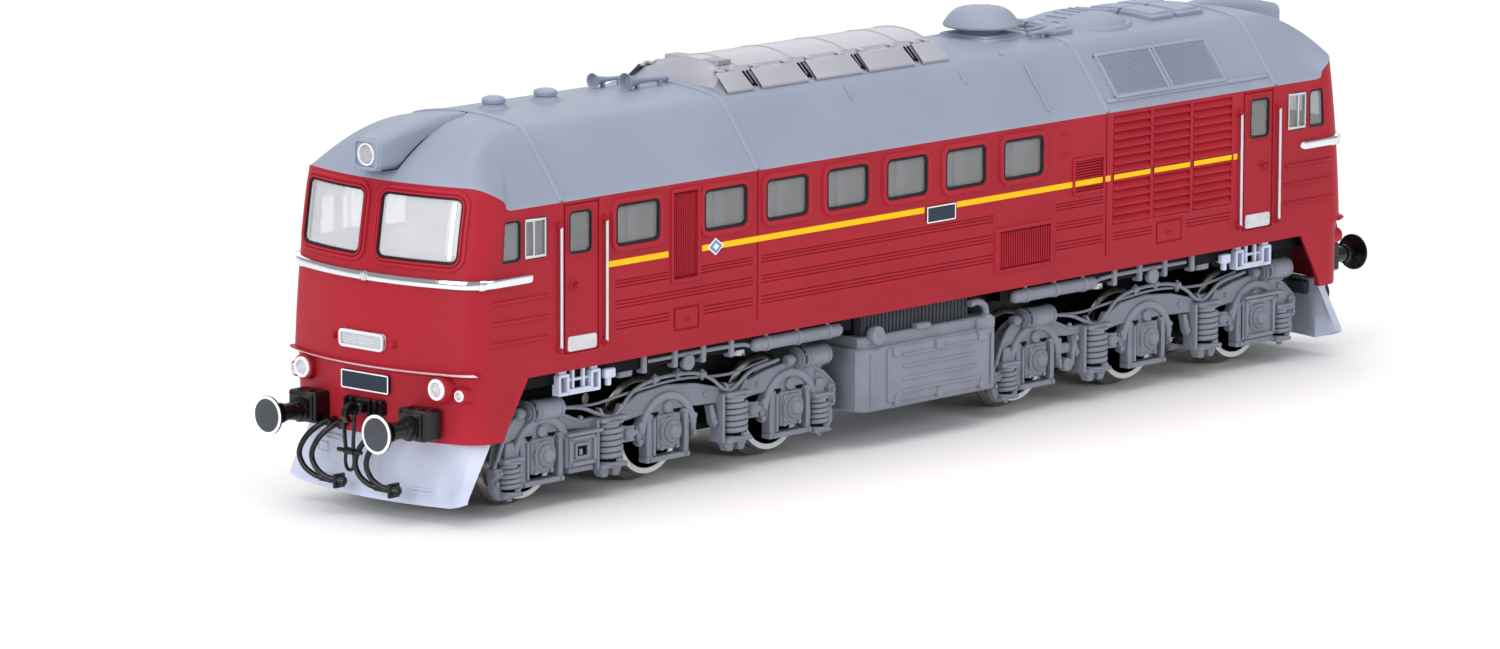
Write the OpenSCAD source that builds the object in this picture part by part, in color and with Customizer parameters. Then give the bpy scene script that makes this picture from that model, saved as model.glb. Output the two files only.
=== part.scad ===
// Six-axle two-cab diesel locomotive in 1:87, running on 16.5 mm track.
// X is across the model, Y along it (cab one at -Y), Z up from the flange bottoms.

/* [Overall] */
// Length over the four buffer faces
length_over_buffers = 201.6; // [198:0.1:245]
// Width over the body side walls
body_w = 33.9; // [32:0.1:42]
// Height of the eaves, where the roof begins
eaves_z = 41.05; // [37:0.05:50]
// Rise of the roof ridge above the eaves
roof_rise = 10.15; // [8:0.05:13]
// Distance between the two bogie pivots
pivot_distance = 99; // [96:0.1:112]

/* [Body shell] */
// Wall of the body moulding
body_wall = 1.1; // [0.8:0.05:1.5]
// Wall of the roof moulding
roof_wall = 1.0; // [0.8:0.05:1.5]
// Bottom edge of the body side
skirt_z = 18.7; // [18:0.05:19.2]
// Bottom edge of the cab end
apron_z = 10.9; // [10:0.05:12.5]
// Reach of the buffer faces beyond the cab front
buffer_reach = 7.6; // [6.5:0.1:9.5]
// Plan radius of the cab front
front_r = 43; // [35:1:55]
// Plan radius of the cab corners
corner_r = 4; // [3:0.1:5]
// Backward lean of the windscreens
front_lean = 6; // [3:0.5:8]
// Height of the ledge round the cab
ledge_z = 20.2; // [19.5:0.05:22]
// Length of the sloping roof over a cab
cab_roof_len = 17.5; // [14:0.1:22]
// Half width of the roof crown at its shoulders
shoulder_x = 11; // [9:0.1:12.5]

/* [Windows and doors] */
// Width of an engine room window
window_w = 8.35; // [6:0.05:10]
// Height of every side window
window_h = 5.5; // [4.5:0.05:6.6]
// Bottom edge of the side windows
window_z = 34.05; // [31:0.05:36]
// Spacing of the six engine room windows
window_pitch = 12.1; // [10.5:0.05:13]
// Middle of the first of the six windows
window_first_y = -42.1; // [-44:0.1:-38]
// Corner radius of the windows
window_r = 0.9; // [0.4:0.05:1.5]
// Distance of the door middle from the buffer face
door_from_end = 31.1; // [29:0.1:35]
// Width of the door window
door_window_w = 4.5; // [3.5:0.05:5.2]
// Distance of the cab window middle from the buffer face
cab_window_from_end = 20.9; // [20:0.1:22.5]
// Width of the cab side window
cab_window_w = 8.8; // [7:0.1:10]
// Width of one windscreen
screen_w = 12.4; // [10:0.1:13]
// Height of one windscreen
screen_h = 8.6; // [6.5:0.1:9]
// Thickness of all glazing
glass_t = 0.8; // [0.5:0.05:1]
// Gap round every inserted piece
fit_gap = 0.05; // [0.02:0.01:0.1]

/* [Running gear] */
// Radius of the wheel tread
wheel_r = 6; // [5.6:0.05:6.4]
// Height of the wheel flange
flange_h = 1; // [0.6:0.05:1.2]
// Distance between the wheel backs
back_to_back = 14.3; // [13.8:0.05:14.5]
// Width of a wheel
wheel_w = 2.8; // [2.4:0.05:2.9]
// Distance between neighbouring axles of a bogie
axle_pitch = 24.15; // [23.6:0.05:25.5]
// Diameter of the axles
axle_d = 2; // [1.5:0.1:2.4]
// Running clearance round axles and shafts
running_gap = 0.05; // [0.03:0.01:0.1]
// Swing of a bogie to either side, in degrees
bogie_swing = 8; // [4:0.5:8]
// Radius of the bogie turntable
turntable_r = 7.4; // [6.5:0.1:7.6]

/* [Drive] */
// Height of the motor shaft
motor_z = 21.4; // [21.2:0.1:22.4]
// Outer diameter of the motor
motor_d = 15; // [12:0.5:16]
// Length of the motor case
motor_len = 21; // [16:0.5:23]
// Diameter of the flywheels
flywheel_d = 14; // [10:0.5:15]
// Width of a flywheel
flywheel_w = 5; // [3:0.5:5.5]
// Teeth of the worm wheel
wheel_teeth = 16; // [14:1:18]
// Teeth of the idler gears
idler_teeth = 18; // [16:1:20]
// Teeth of the gear on a driven axle
axle_teeth = 14; // [12:1:16]
// Thickness of the gears
gear_w = 1.6; // [1:0.1:2]
// Play between meshing teeth
backlash = 0.14; // [0.1:0.01:0.2]

/* [Roof and underframe] */
// Length of the air intake hood
hood_len = 45; // [36:0.5:50]
// Middle of the air intake hood
hood_y = -11; // [-14:0.5:-8]
// Width of the air intake hood
hood_w = 18.4; // [15:0.1:19.5]
// Height of the air intake hood above the ridge
hood_h = 3; // [2:0.1:4]
// Diameter of the roof ventilator brim
ventilator_d = 10.8; // [8:0.1:12]
// Length of the fuel tank
tank_len = 28.6; // [24:0.1:28.6]
// Width of the fuel tank
tank_w = 33.2; // [30:0.1:33.8]
// Bottom of the fuel tank
tank_z = 5.2; // [4.8:0.1:7]
// Height of the fuel tank
tank_h = 10.3; // [8:0.1:10.6]
// Diameter of the buffer discs
buffer_d = 5.2; // [4.4:0.1:6]
// Distance between the buffer middles
buffer_spacing = 20.1; // [18:0.1:22]
// Height of the buffer middles
buffer_z = 13.2; // [12.9:0.1:14.5]

/* [Hidden] */
$fn = 48;

hw = body_w / 2;
half_len = length_over_buffers / 2;
nose_y = half_len - buffer_reach;
ridge_z = eaves_z + roof_rise;
far = 400;
pivot_y = pivot_distance / 2;
axle_z = wheel_r + flange_h;
door_y = half_len - door_from_end;
cab_window_y = half_len - cab_window_from_end;
screen_top_z = eaves_z + 1.95;
front_eaves_z = eaves_z + 3.15;

// ---- helpers ----
module both_ends() {
    children();
    rotate(180) children();
}

module both_sides() {
    children();
    mirror([1, 0, 0]) children();
}

module along_x(length, center = true) {
    rotate([90, 0, 90]) linear_extrude(length, center = center) children();
}

module along_y(length, center = true) {
    translate([0, center ? length / 2 : length, 0])
        rotate([90, 0, 0]) linear_extrude(length) children();
}

module rod_x(r, length) {
    rotate([0, 90, 0]) cylinder(r = r, h = length, center = true);
}

module rod_y(r, length) {
    rotate([90, 0, 0]) cylinder(r = r, h = length, center = true);
}

module block(x0, x1, y0, y1, z0, z1) {
    translate([x0, y0, z0]) cube([x1 - x0, y1 - y0, z1 - z0]);
}

function arc(cx, cy, r, a0, a1, n) =
    [for (i = [0:n]) let (a = a0 + (a1 - a0) * i / n) [cx + r * cos(a), cy + r * sin(a)]];

function round_rect(w, h, r) = concat(
    arc(w / 2 - r, h / 2 - r, r, 0, 90, 5),
    arc(r - w / 2, h / 2 - r, r, 90, 180, 5),
    arc(r - w / 2, r - h / 2, r, 180, 270, 5),
    arc(w / 2 - r, r - h / 2, r, 270, 360, 5)
);

function mirrored(points) =
    concat(points, [for (i = [len(points) - 1:-1:0]) [-points[i][0], points[i][1]]]);

// ---- outer form of the body ----
// Half plan of one cab end at -Y, inset by t, from the middle of the front to the side wall.
function front_half(t) =
    let (r = front_r - t, rc = corner_r - t, w = hw - t)
    let (cy = -nose_y + front_r)
    let (a0 = asin((w - rc) / (r - rc)))
    let (fx = w - rc, fy = cy - (r - rc) * cos(a0))
    concat(
        [for (i = [0:10]) let (a = a0 * i / 10) [r * sin(a), cy - r * cos(a)]],
        [for (i = [1:6]) let (a = a0 + (90 - a0) * i / 6) [fx + rc * sin(a), fy - rc * cos(a)]]
    );

// Front depth of the outer form at a distance x from the middle, at ledge height.
function front_y(x) = -nose_y + front_r - sqrt(front_r * front_r - x * x);

module end_prism(t, lean) {
    half = front_half(t);
    translate([0, -nose_y, ledge_z]) rotate([-lean, 0, 0]) translate([0, nose_y, -far / 2])
        linear_extrude(far) polygon(mirrored(concat(half, [[hw - t, far]])));
}

module end_forms(t) {
    intersection() {
        end_prism(t, front_lean);
        end_prism(t, -front_lean);
        rotate(180) end_prism(t, front_lean);
        rotate(180) end_prism(t, -front_lean);
    }
}

// Half cross-section of the roof from the eaves to the ridge, inset by t.
function roof_half(t) =
    let (shoulder_z = ridge_z - roof_rise * 0.2, crown_x = shoulder_x - 1.5)
    let (crown_z = ridge_z - 1.15 - t, sx = hw - shoulder_x, sz = shoulder_z - eaves_z)
    let (slant = sqrt(sx * sx + sz * sz))
    concat(
        [[hw - t, apron_z - far], [hw - t, eaves_z]],
        [[shoulder_x - t * sz / slant, shoulder_z - t * sx / slant]],
        [for (i = [0:8]) let (x = crown_x * (1 - i / 8)) [
            x - 0.3 * t * (1 - i / 8),
            ridge_z - t - 1.15 * pow(x / crown_x, 2)
        ]]
    );

// Height of the roof line over a cab, by the share s of the sloping length.
function cab_roof_z(s) = ridge_z - (ridge_z - front_eaves_z + 0.4) * pow(s, 1.7);

module roof_side(t) {
    flat = nose_y - cab_roof_len;
    rise = [for (i = [0:10]) [flat + cab_roof_len * i / 10, cab_roof_z(i / 10) - t]];
    along_x(far) polygon(mirrored(concat(
        [[0, ridge_z - t]],
        rise,
        [[nose_y + 20, cab_roof_z(1) - 12 - t], [nose_y + 20, -far]]
    )));
}

module outer_form(t) {
    intersection() {
        end_forms(t);
        along_y(far) polygon(mirrored(roof_half(t)));
        roof_side(t);
    }
}

// Side view of everything below the colour break between body and roof.
module below_eaves(drop) {
    start = nose_y - 10.2;
    along_x(far) polygon(mirrored([
        [0, eaves_z - drop],
        [start, eaves_z - drop],
        [start + 2, eaves_z + 0.55 - drop],
        [start + 4, eaves_z + 1.85 - drop],
        [start + 5.5, front_eaves_z - 0.2 - drop],
        [start + 7, front_eaves_z - drop],
        [far / 2, front_eaves_z - drop],
        [far / 2, -far]
    ]));
}

// Side view of the space below the skirts, between the two aprons.
module below_skirts() {
    slant = nose_y - 13.5;
    along_x(far) polygon(mirrored([
        [0, skirt_z],
        [slant, skirt_z],
        [slant + 4.9, apron_z],
        [far / 2, apron_z],
        [far / 2, -far]
    ]));
}

// ---- openings shared by the shell and the glazing ----
module side_pane(y, w, z, h, r, x0, x1, gap) {
    translate([x0, y, z + h / 2]) rotate([90, 0, 90])
        linear_extrude(x1 - x0) polygon(round_rect(w - 2 * gap, h - 2 * gap, r - gap));
}

window_ys = concat(
    [window_first_y - 17],
    [for (i = [0:5]) window_first_y + i * window_pitch]
);

module side_openings(x0, x1, gap) {
    both_sides() for (y = window_ys)
        side_pane(y, window_w, window_z, window_h, window_r, x0, x1, gap);
}

module door_openings(x0, x1, gap) {
    both_sides() for (s = [-1, 1])
        side_pane(s * door_y, door_window_w, window_z, window_h, window_r, x0, x1, gap);
}

module cab_openings(x0, x1, gap) {
    both_sides() for (s = [-1, 1])
        side_pane(s * cab_window_y, cab_window_w, window_z + 0.25, window_h - 0.3, 0.6, x0, x1, gap);
}

screen_x = screen_w / 2 + 1.5;

module screen_prism(gap) {
    both_ends() both_sides()
        translate([screen_x, -nose_y + 12, screen_top_z - screen_h / 2]) rotate([90, 0, 0])
            linear_extrude(20) polygon(round_rect(screen_w - 2 * gap, screen_h - 2 * gap, 1.2 - gap));
}

// ---- body ----
module shell_form() {
    difference() {
        outer_form(0);
        outer_form(body_wall);
        below_skirts();
    }
}

module ledge_band() {
    difference() {
        intersection() {
            end_forms(-0.7);
            both_ends() block(-far, far, -far, -nose_y + 7.5, ledge_z - 0.45, ledge_z + 0.45);
        }
        end_forms(body_wall / 2);
    }
}

module body_shell() {
    color([0.62, 0.09, 0.13]) {
        difference() {
            union() {
                intersection() {
                    shell_form();
                    below_eaves(0);
                }
                ledge_band();
                // screw bosses under the eaves, one at each corner of the engine room
                at_screws() block(-1.2, 1.6, -1.6, 1.6, chassis_top + 0.2, chassis_top + 9);
            }
            side_openings(hw - 3, hw + 1, 0);
            door_openings(hw - 3, hw + 1, 0);
            cab_openings(hw - 3, hw + 1, 0);
            screen_prism(0);
            at_screws() translate([0, 0, chassis_top]) cylinder(d = screw_d + 2 * fit_gap, h = 7);
            coupling_slots();
        }
    }
}

module coupling_slots() {
    both_ends() block(-4, 4, -nose_y - 2, -nose_y + 4, apron_z - 1, apron_z + 1.6);
}

module roof_shell() {
    color([0.6, 0.66, 0.72]) {
        difference() {
            outer_form(0);
            outer_form(roof_wall);
            below_eaves(0);
            ventilator_hole();
        }
        intersection() {
            difference() {
                outer_form(-0.25);
                outer_form(roof_wall / 2);
                below_eaves(-0.2);
            }
            union() {
                for (y = roof_rib_ys) block(-far, far, y - 0.3, y + 0.3, eaves_z, ridge_z + 1);
            }
        }
    }
}

roof_rib_ys = [-(nose_y - 19.7), -35.7, 36.5, nose_y - 19.7];

module ventilator_hole() {
    translate([0, ventilator_y, ridge_z - 4]) cylinder(d = 3, h = 8);
}

module windscreens() {
    color([0.75, 0.8, 0.85, 0.5]) intersection() {
        difference() {
            outer_form(0.2);
            outer_form(0.2 + glass_t);
        }
        screen_prism(fit_gap);
        below_eaves(0.05);
    }
}

module side_glazing() {
    color([0.7, 0.75, 0.8, 0.5]) {
        side_openings(hw - 0.2 - glass_t, hw - 0.2, fit_gap);
        door_openings(hw - 0.2 - glass_t, hw - 0.2, fit_gap);
        cab_openings(hw - 0.3 - glass_t, hw - 0.3, fit_gap);
    }
}

// A thin frame with a post, standing in front of each cab side window.
module window_frames() {
    middle_z = window_z + 0.1 + window_h / 2;
    color("silver") both_sides() for (s = [-1, 1]) translate([hw - 0.25, s * cab_window_y, middle_z])
        rotate([90, 0, 90]) linear_extrude(0.45) {
            difference() {
                polygon(round_rect(cab_window_w - 2 * fit_gap, window_h - 0.3 - 2 * fit_gap, 0.55));
                polygon(round_rect(cab_window_w - 0.8, window_h - 1.1, 0.4));
            }
            translate([-s * 0.8, 0]) square([0.4, window_h - 0.9], center = true);
        }
}

// ---- trim, lamps and small fittings ----
trim_z = screen_top_z - screen_h - 3.2;

module trim_bands() {
    color([0.85, 0.87, 0.9]) intersection() {
        difference() {
            end_forms(-0.75);
            end_forms(-0.02);
        }
        both_ends() block(-far, far, -far, -nose_y + 14, trim_z, trim_z + 1.3);
    }
}

headlamp_z = front_eaves_z + 3.4;
fairing_tail = 17.5;

module headlamp_fairings() {
    color([0.58, 0.64, 0.7]) both_ends() difference() {
        intersection() {
            translate([0, -nose_y + 1.2, headlamp_z]) along_x(4.9) polygon([
                [0, -2.2], [0, 2.2], [11, 4.1], [fairing_tail, 3.1], [fairing_tail, -2.2]
            ]);
            translate([0, -nose_y + 1.2, 0]) linear_extrude(far) polygon([
                [-2.45, 0], [2.45, 0], [2.45, fairing_tail - 3], [0, fairing_tail], [-2.45, fairing_tail - 3]
            ]);
        }
        outer_form(0);
        translate([0, -nose_y + 1.2, headlamp_z - 0.2]) rotate([-90, 0, 0]) cylinder(d = 3.2, h = 1.4);
    }
}

module headlamp_lenses() {
    color([0.9, 0.92, 0.95]) both_ends() translate([0, -nose_y + 1.5, headlamp_z - 0.2])
        rotate([-90, 0, 0]) cylinder(d = 3.2 - 2 * fit_gap, h = 1);
}

marker_x = 12.3;
marker_z = 18.2;
tail_x = 15.1;
tail_z = 17.4;

module lamp(x, z, d, y_out, depth) {
    translate([x, y_out, z]) rotate([-90, 0, 0]) cylinder(d = d, h = depth);
}

module marker_lamps() {
    color("white") both_ends() both_sides() difference() {
        union() {
            lamp(marker_x, marker_z, 2.8, front_y(marker_x) - 0.6, 2);
            lamp(tail_x, tail_z, 1.5, front_y(tail_x) + 0.2, 2);
        }
        end_forms(0);
    }
}

rail_x = hw + 0.55;
rail_z0 = 21.6;
rail_z1 = window_z + 4.2;

module handrails() {
    color("silver") both_sides() for (s = [-1, 1], off = [-4.25, 4.35])
        translate([rail_x, s * door_y + off, 0]) {
            translate([0, 0, rail_z0]) cylinder(d = 0.55, h = rail_z1 - rail_z0, $fn = 16);
            for (z = [rail_z0 + 0.3, rail_z1 - 0.3])
                translate([-0.275, 0, z]) rod_x(0.27, 0.54, $fn = 16);
        }
}

module kick_plates() {
    color("silver") both_sides() for (s = [-1, 1])
        side_pane(s * door_y, 5.4, 21.45, 2.1, 0.5, hw + 0.01, hw + 0.25, 0);
}

plate_y = 1.3;

module number_plates() {
    color([0.15, 0.17, 0.2]) {
        both_sides() side_pane(plate_y, 6, 29.9, 2.3, 0.2, hw + 0.01, hw + 0.25, 0);
        both_ends() difference() {
            intersection() {
                end_forms(-0.3);
                block(-4.3, 4.3, -far, 0, ledge_z - 3.6, ledge_z - 1.1);
            }
            end_forms(-0.01);
        }
    }
}

module nose_grilles() {
    color([0.88, 0.88, 0.9]) both_ends() difference() {
        intersection() {
            end_forms(-0.5);
            translate([0, -nose_y, ledge_z + 3.2]) rotate([90, 0, 0])
                linear_extrude(far, center = true) polygon(round_rect(8, 2.5, 0.7));
        }
        end_forms(-0.01);
    }
}

// ---- roof fittings ----
hood_base_z = ridge_z - 1.35;

module intake_hood() {
    top_x = hood_w / 2 - 3.6;
    color([0.72, 0.73, 0.76]) difference() {
        union() {
            translate([0, hood_y, hood_base_z]) along_y(hood_len - 5) polygon(mirrored(concat(
                [[hood_w / 2 - 0.3, 0], [hood_w / 2 - 0.3, 0.8], [top_x + 0.6, 2.35], [top_x, 2.75]],
                [for (i = [1:5]) let (x = top_x * (1 - i / 5)) [
                    x,
                    hood_h + 1.35 - (hood_h - 1.4) * pow(x / top_x, 2)
                ]]
            )));
            for (i = [0:4], s = [-1, 1]) translate([0, hood_y + (i - 2) * flap_pitch, hood_base_z])
                along_y(flap_pitch - 1.6) polygon([
                    [s * (top_x - 1), 0],
                    [s * (hood_w / 2), 0],
                    [s * (hood_w / 2), 1.1],
                    [s * (top_x + 0.4), 2.5],
                    [s * (top_x - 1), 2.5]
                ]);
            for (s = [-1, 1]) translate([0, hood_y + s * (hood_len / 2 - 2.51), hood_base_z])
                along_x(hood_w - 1.6) polygon([
                    [0, 0], [s * 2.5, 0], [s * 2.5, 1.1], [0, 3.2]
                ]);
        }
        outer_form(0);
    }
}

flap_pitch = hood_len / 4.75;
ventilator_y = 29;

module roof_ventilator() {
    color([0.62, 0.68, 0.74]) translate([0, ventilator_y, ridge_z]) {
        difference() {
            union() {
                translate([-4.6, -4.6, -0.6]) cube([9.2, 9.2, 1]);
                cylinder(d = 5.7, h = 2);
            }
            translate([0, -ventilator_y, -ridge_z]) outer_form(0);
        }
        translate([0, 0, 1.6]) rotate_extrude() polygon([
            [0, 0],
            [ventilator_d / 2 - 0.3, -0.2],
            [ventilator_d / 2, 0.3],
            [ventilator_d / 2 - 0.6, 1.1],
            [ventilator_d / 2 - 1.6, 1.8],
            [ventilator_d / 2 - 2.4, 2.1],
            [0, 2.3]
        ]);
        translate([0, 0, -2]) cylinder(d = 3 - 2 * fit_gap, h = 2.2);
    }
}

module roof_vent_caps() {
    color([0.62, 0.68, 0.74]) for (y = [-68.6, -58.8]) translate([0, y, ridge_z]) {
        cylinder(d = 2, h = 0.6);
        translate([0, 0, 0.4]) rotate_extrude() polygon([
            [0, 0], [1.4, 0], [1.55, 0.25], [1.5, 0.8], [1.2, 1.1], [0, 1.15]
        ]);
    }
}

module horn(length) {
    rotate([90, 0, 0]) rotate_extrude() polygon([
        [0, 0], [0.3, 0], [0.3, length * 0.5], [0.45, length * 0.8], [0.85, length], [0, length]
    ]);
    translate([-0.25, -length * 0.4, -1.4]) cube([0.5, 1, 1.5]);
}

module roof_horns() {
    color([0.6, 0.66, 0.72]) {
        difference() {
            union() {
                translate([1.6, -39.8, ridge_z + 1.05]) horn(4.6);
                translate([-3.4, -47, ridge_z + 0.8]) horn(3.4);
                translate([5.2, 40.2, ridge_z + 0.75]) rotate(25) horn(4.2);
                translate([6.4, 33, ridge_z + 0.5]) rotate(180) horn(2.6);
            }
            outer_form(0);
        }
    }
}

fan_y = 50.5;

module fan_cover() {
    color([0.6, 0.66, 0.72]) difference() {
        union() {
            translate([0, fan_y, ridge_z - 0.8]) rotate_extrude() polygon([
                [0, 0], [7.8, 0], [7.6, 0.9], [6, 1.5], [3, 1.95], [0, 2.1]
            ]);
            block(-1.6, 1.6, fan_y - 7.7, fan_y + 13, ridge_z - 0.5, ridge_z + 1.75);
            block(-6, 6, fan_y + 9.5, fan_y + 16.5, ridge_z - 1.2, ridge_z + 0.55);
        }
        outer_form(0);
    }
}

// ---- ends ----
buffer_x = buffer_spacing / 2;
housing_depth = 3.2;

module buffer_housings() {
    color([0.1, 0.1, 0.11]) both_ends() both_sides() difference() {
        union() {
            translate([buffer_x, -nose_y - 0.4, buffer_z + 0.3]) rotate([-90, 0, 0])
                translate([0, 0, -0.6]) linear_extrude(housing_depth) polygon(round_rect(5, 4.2, 0.5));
            translate([buffer_x, -nose_y - 3.2, buffer_z]) rod_y(1.45, 4.8);
        }
        end_forms(0);
        translate([buffer_x, -nose_y - 4, buffer_z]) rod_y(plunger_r + running_gap, 8);
    }
}

plunger_r = 0.95;

module buffers() {
    color([0.2, 0.2, 0.22]) both_ends() both_sides() {
        translate([buffer_x, -half_len + 0.5 + 1.9, buffer_z]) rod_y(plunger_r, 4.6);
        translate([buffer_x, -half_len, buffer_z]) rotate([-90, 0, 0]) cylinder(d = buffer_d, h = 0.7);
    }
}

module coupling_hooks() {
    color([0.09, 0.09, 0.1]) both_ends() {
        difference() {
            block(-3.4, 3.4, -nose_y - 1.6, -nose_y + 2, 13.4, 15.4);
            end_forms(0);
        }
        block(-0.5, 0.5, -nose_y - 4.2, -nose_y - 1.5, 13.2, 15.2);
        translate([0, -nose_y - 2.4, 8.2]) rotate([-8, 0, 0]) block(-1.1, 1.1, -0.45, 0.45, 0, 5.6);
        translate([0, -nose_y - 2.6, 6.3]) cylinder(d = 0.9, h = 2.2, $fn = 16);
    }
}

// One moulded hose: it drops from a valve, bends through a quarter ring and ends in a
// coupling head that points towards the middle of the model.
module hose(x, side, out) {
    bend = 2.2;
    low = 4.6;
    sleeve_r = hose_d / 2 + 0.08;
    translate([x, -nose_y - out, 0]) {
        translate([0, 0, 10.2]) cylinder(d = 1.1, h = 2, $fn = 16);
        translate([0, 0.8 + out / 2, 11.7]) rod_y(0.35, out + 1.6, $fn = 16);
        translate([0, 0, low + bend - 0.3]) cylinder(r = sleeve_r, h = 10.7 - low - bend, $fn = 16);
        translate([-side * bend, 0, low + bend]) rotate([90, 0, 0]) rotate(side > 0 ? -90 : 180)
            rotate_extrude(angle = 90, $fn = 40) translate([bend, 0]) circle(d = hose_d, $fn = 16);
        translate([-side * (bend + 0.3), 0, low]) rod_x(sleeve_r, 1.2, $fn = 16);
        translate([-side * (bend + 1.3), 0, low]) rod_x(0.6, 1, $fn = 16);
    }
}

hose_d = 0.75;

module brake_hoses() {
    color([0.06, 0.06, 0.07]) both_ends() for (side = [-1, 1]) difference() {
        union() {
            hose(side * 6.9, side, 1.4);
            hose(side * 4.4, side, 2.6);
        }
        end_forms(0);
    }
}

plough_z = 2.3;

module ploughs() {
    color([0.7, 0.72, 0.78]) both_ends() intersection() {
        difference() {
            end_forms(0.35);
            end_forms(1.35);
        }
        translate([0, 0, plough_z]) rotate([90, 0, 0]) linear_extrude(far) polygon([
            [-far, apron_z - plough_z - 0.05],
            [-far, 3.5],
            [-hw + 0.4, 3.5],
            [-hw + 5, 0],
            [hw - 5, 0],
            [hw - 0.4, 3.5],
            [far, 3.5],
            [far, apron_z - plough_z - 0.05]
        ]);
        along_x(far) polygon([
            [-far, -far],
            [-nose_y + 2.2, -far],
            [-nose_y + 2.4, plough_z],
            [-nose_y + 6.2, apron_z],
            [-nose_y + 6.2, far],
            [-far, far]
        ]);
    }
    color([0.3, 0.31, 0.34]) both_ends() {
        block(-8, 8, -nose_y + 2.2, -nose_y + 5, apron_z - 4.5, apron_z - 3.4);
        block(-8, 8, -nose_y + 3.9, -nose_y + 5, apron_z - 4.5, chassis_z);
    }
}

// ---- underframe ----
chassis_z = 16.9;
chassis_top = 19;
chassis_x = hw - body_wall - 0.25;
screw_x = hw - body_wall - 1.4;
screw_y = 37;
screw_d = 1.2;
// half width and half length of the well that holds the motor
well_x = 8.6;
well_y = 19.6;

module at_screws() {
    both_sides() for (y = [-screw_y, screw_y]) translate([screw_x, y, 0]) children();
}

module chassis_frame() {
    end = -front_y(chassis_x) - 3.4;
    color([0.34, 0.36, 0.39]) difference() {
        union() {
            block(-chassis_x, chassis_x, -end, end, chassis_z, chassis_top);
            // walls of the motor well
            both_sides() block(well_x, well_x + 2, -20, 20, chassis_z, motor_z + 4);
            both_ends() block(-9, 9, well_y, well_y + 2, chassis_z, motor_z - 2.6);
            // narrow saddle above the fuel tank
            both_sides() block(10, 13.4, -13.4, 13.4, tank_z + tank_h + fit_gap, chassis_z + 1);
        }
        block(-well_x, well_x, -well_y, well_y, chassis_z - 5, motor_z + 9);
        // room for the filler and the pipe above the tank
        both_sides() block(13.4, far, -15.4, 15.4, chassis_z - 1, chassis_top + 1);
        both_ends() translate([0, -pivot_y, 0]) {
            translate([0, 0, chassis_z - 1]) cylinder(r = turntable_r + 0.15, h = 6, $fn = 96);
            block(-7.4, 7.4, -23.4, 0, chassis_z - 1, chassis_top + 1);
        }
        at_screws() translate([0, 0, chassis_z - 1]) cylinder(d = screw_d + 2 * fit_gap, h = 6);
    }
}

module chassis_screws() {
    color("silver") at_screws() {
        translate([0, 0, chassis_z]) cylinder(d = screw_d, h = 7);
        difference() {
            translate([0, 0, chassis_z - 0.8]) cylinder(d = 2.2, h = 0.8);
            translate([0, 0, chassis_z - 0.8]) cube([3, 0.3, 0.6], center = true);
        }
    }
}

module fuel_tank() {
    half = tank_len / 2;
    w = tank_w / 2;
    color([0.5, 0.52, 0.56]) difference() {
        translate([0, 0, tank_z]) linear_extrude(tank_h) polygon(mirrored([
            [0, -half],
            [w - 1.2, -half],
            [w, -half + 1.2],
            [w, half - 1.2],
            [w - 1.2, half],
            [0, half]
        ]));
        block(-9.4, 9.4, -half + 1, half - 1, tank_z + 1, tank_z + tank_h + 1);
        block(-flywheel_room, flywheel_room, -far, far, motor_z - flywheel_room, far);
    }
}

flywheel_room = flywheel_d / 2 + 0.6;

module tank_fittings() {
    w = tank_w / 2;
    top = tank_z + tank_h;
    color([0.52, 0.54, 0.58]) both_sides() {
        translate([w - 1.4, -tank_len / 2 + 2.2, top]) {
            translate([-1.2, -0.8, 0]) cube([2.4, 1.6, 1.1]);
            translate([0, 0, 1.2]) rod_y(1.1, 1.5);
        }
        translate([w - 1.4, 0, top + 0.6]) rod_y(0.35, tank_len - 8, $fn = 16);
        side_pane(0.6, 21, tank_z + 2.2, tank_h - 3, 0.6, w + 0.01, w + 0.35, 0);
    }
}

module reservoir(y0, y1) {
    translate([hw - 3.2, (y0 + y1) / 2, chassis_z - 0.2]) {
        rod_y(1.5, y1 - y0);
        for (s = [-1, 1]) translate([0, s * (y1 - y0) * 0.3, 0]) rod_y(1.6, 0.5);
    }
}

module air_reservoirs() {
    color([0.55, 0.6, 0.66]) difference() {
        both_ends() both_sides() {
            reservoir(17.5, 35.4);
            block(hw - 4.6, hw - 1.5, 38.7, 61, chassis_z - 1, chassis_z - 0.01);
        }
        block(-far, far, -far, far, chassis_z, far);
    }
}

module cab_steps() {
    outer = hw - 1.5;
    color([0.72, 0.76, 0.84]) both_sides() for (s = [-1, 1]) translate([0, s * door_y, 0]) {
        for (y = [-4.4, -2, 2, 3.8]) block(outer - 0.8, outer, y, y + 0.6, 15.5, chassis_z - 0.01);
        block(outer - 1.2, outer, -4.4, 4.4, 15.3, 15.7);
        block(hw - 4.6, outer, -4.4, 4.4, chassis_z - 0.5, chassis_z - 0.01);
    }
}

// ---- inside ----
module cab_interiors() {
    color([0.55, 0.56, 0.58]) both_ends() translate([0, -nose_y + 6, chassis_top + 0.05]) {
        block(-12, 12, 0, 3.4, 0, 11.5);
        block(-12, 12, 3, 6, 8.5, 11.5);
        block(-13.2, 13.2, 0, 16.4, 0, 1);
        block(-13.2, 13.2, 15.4, 16.4, 0, 21);
        for (x = [-6.5, 6.5]) {
            block(x - 2, x + 2, 9, 12.5, 0, 6.5);
            block(x - 2, x + 2, 12, 13, 6, 11.5);
        }
    }
}

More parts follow.
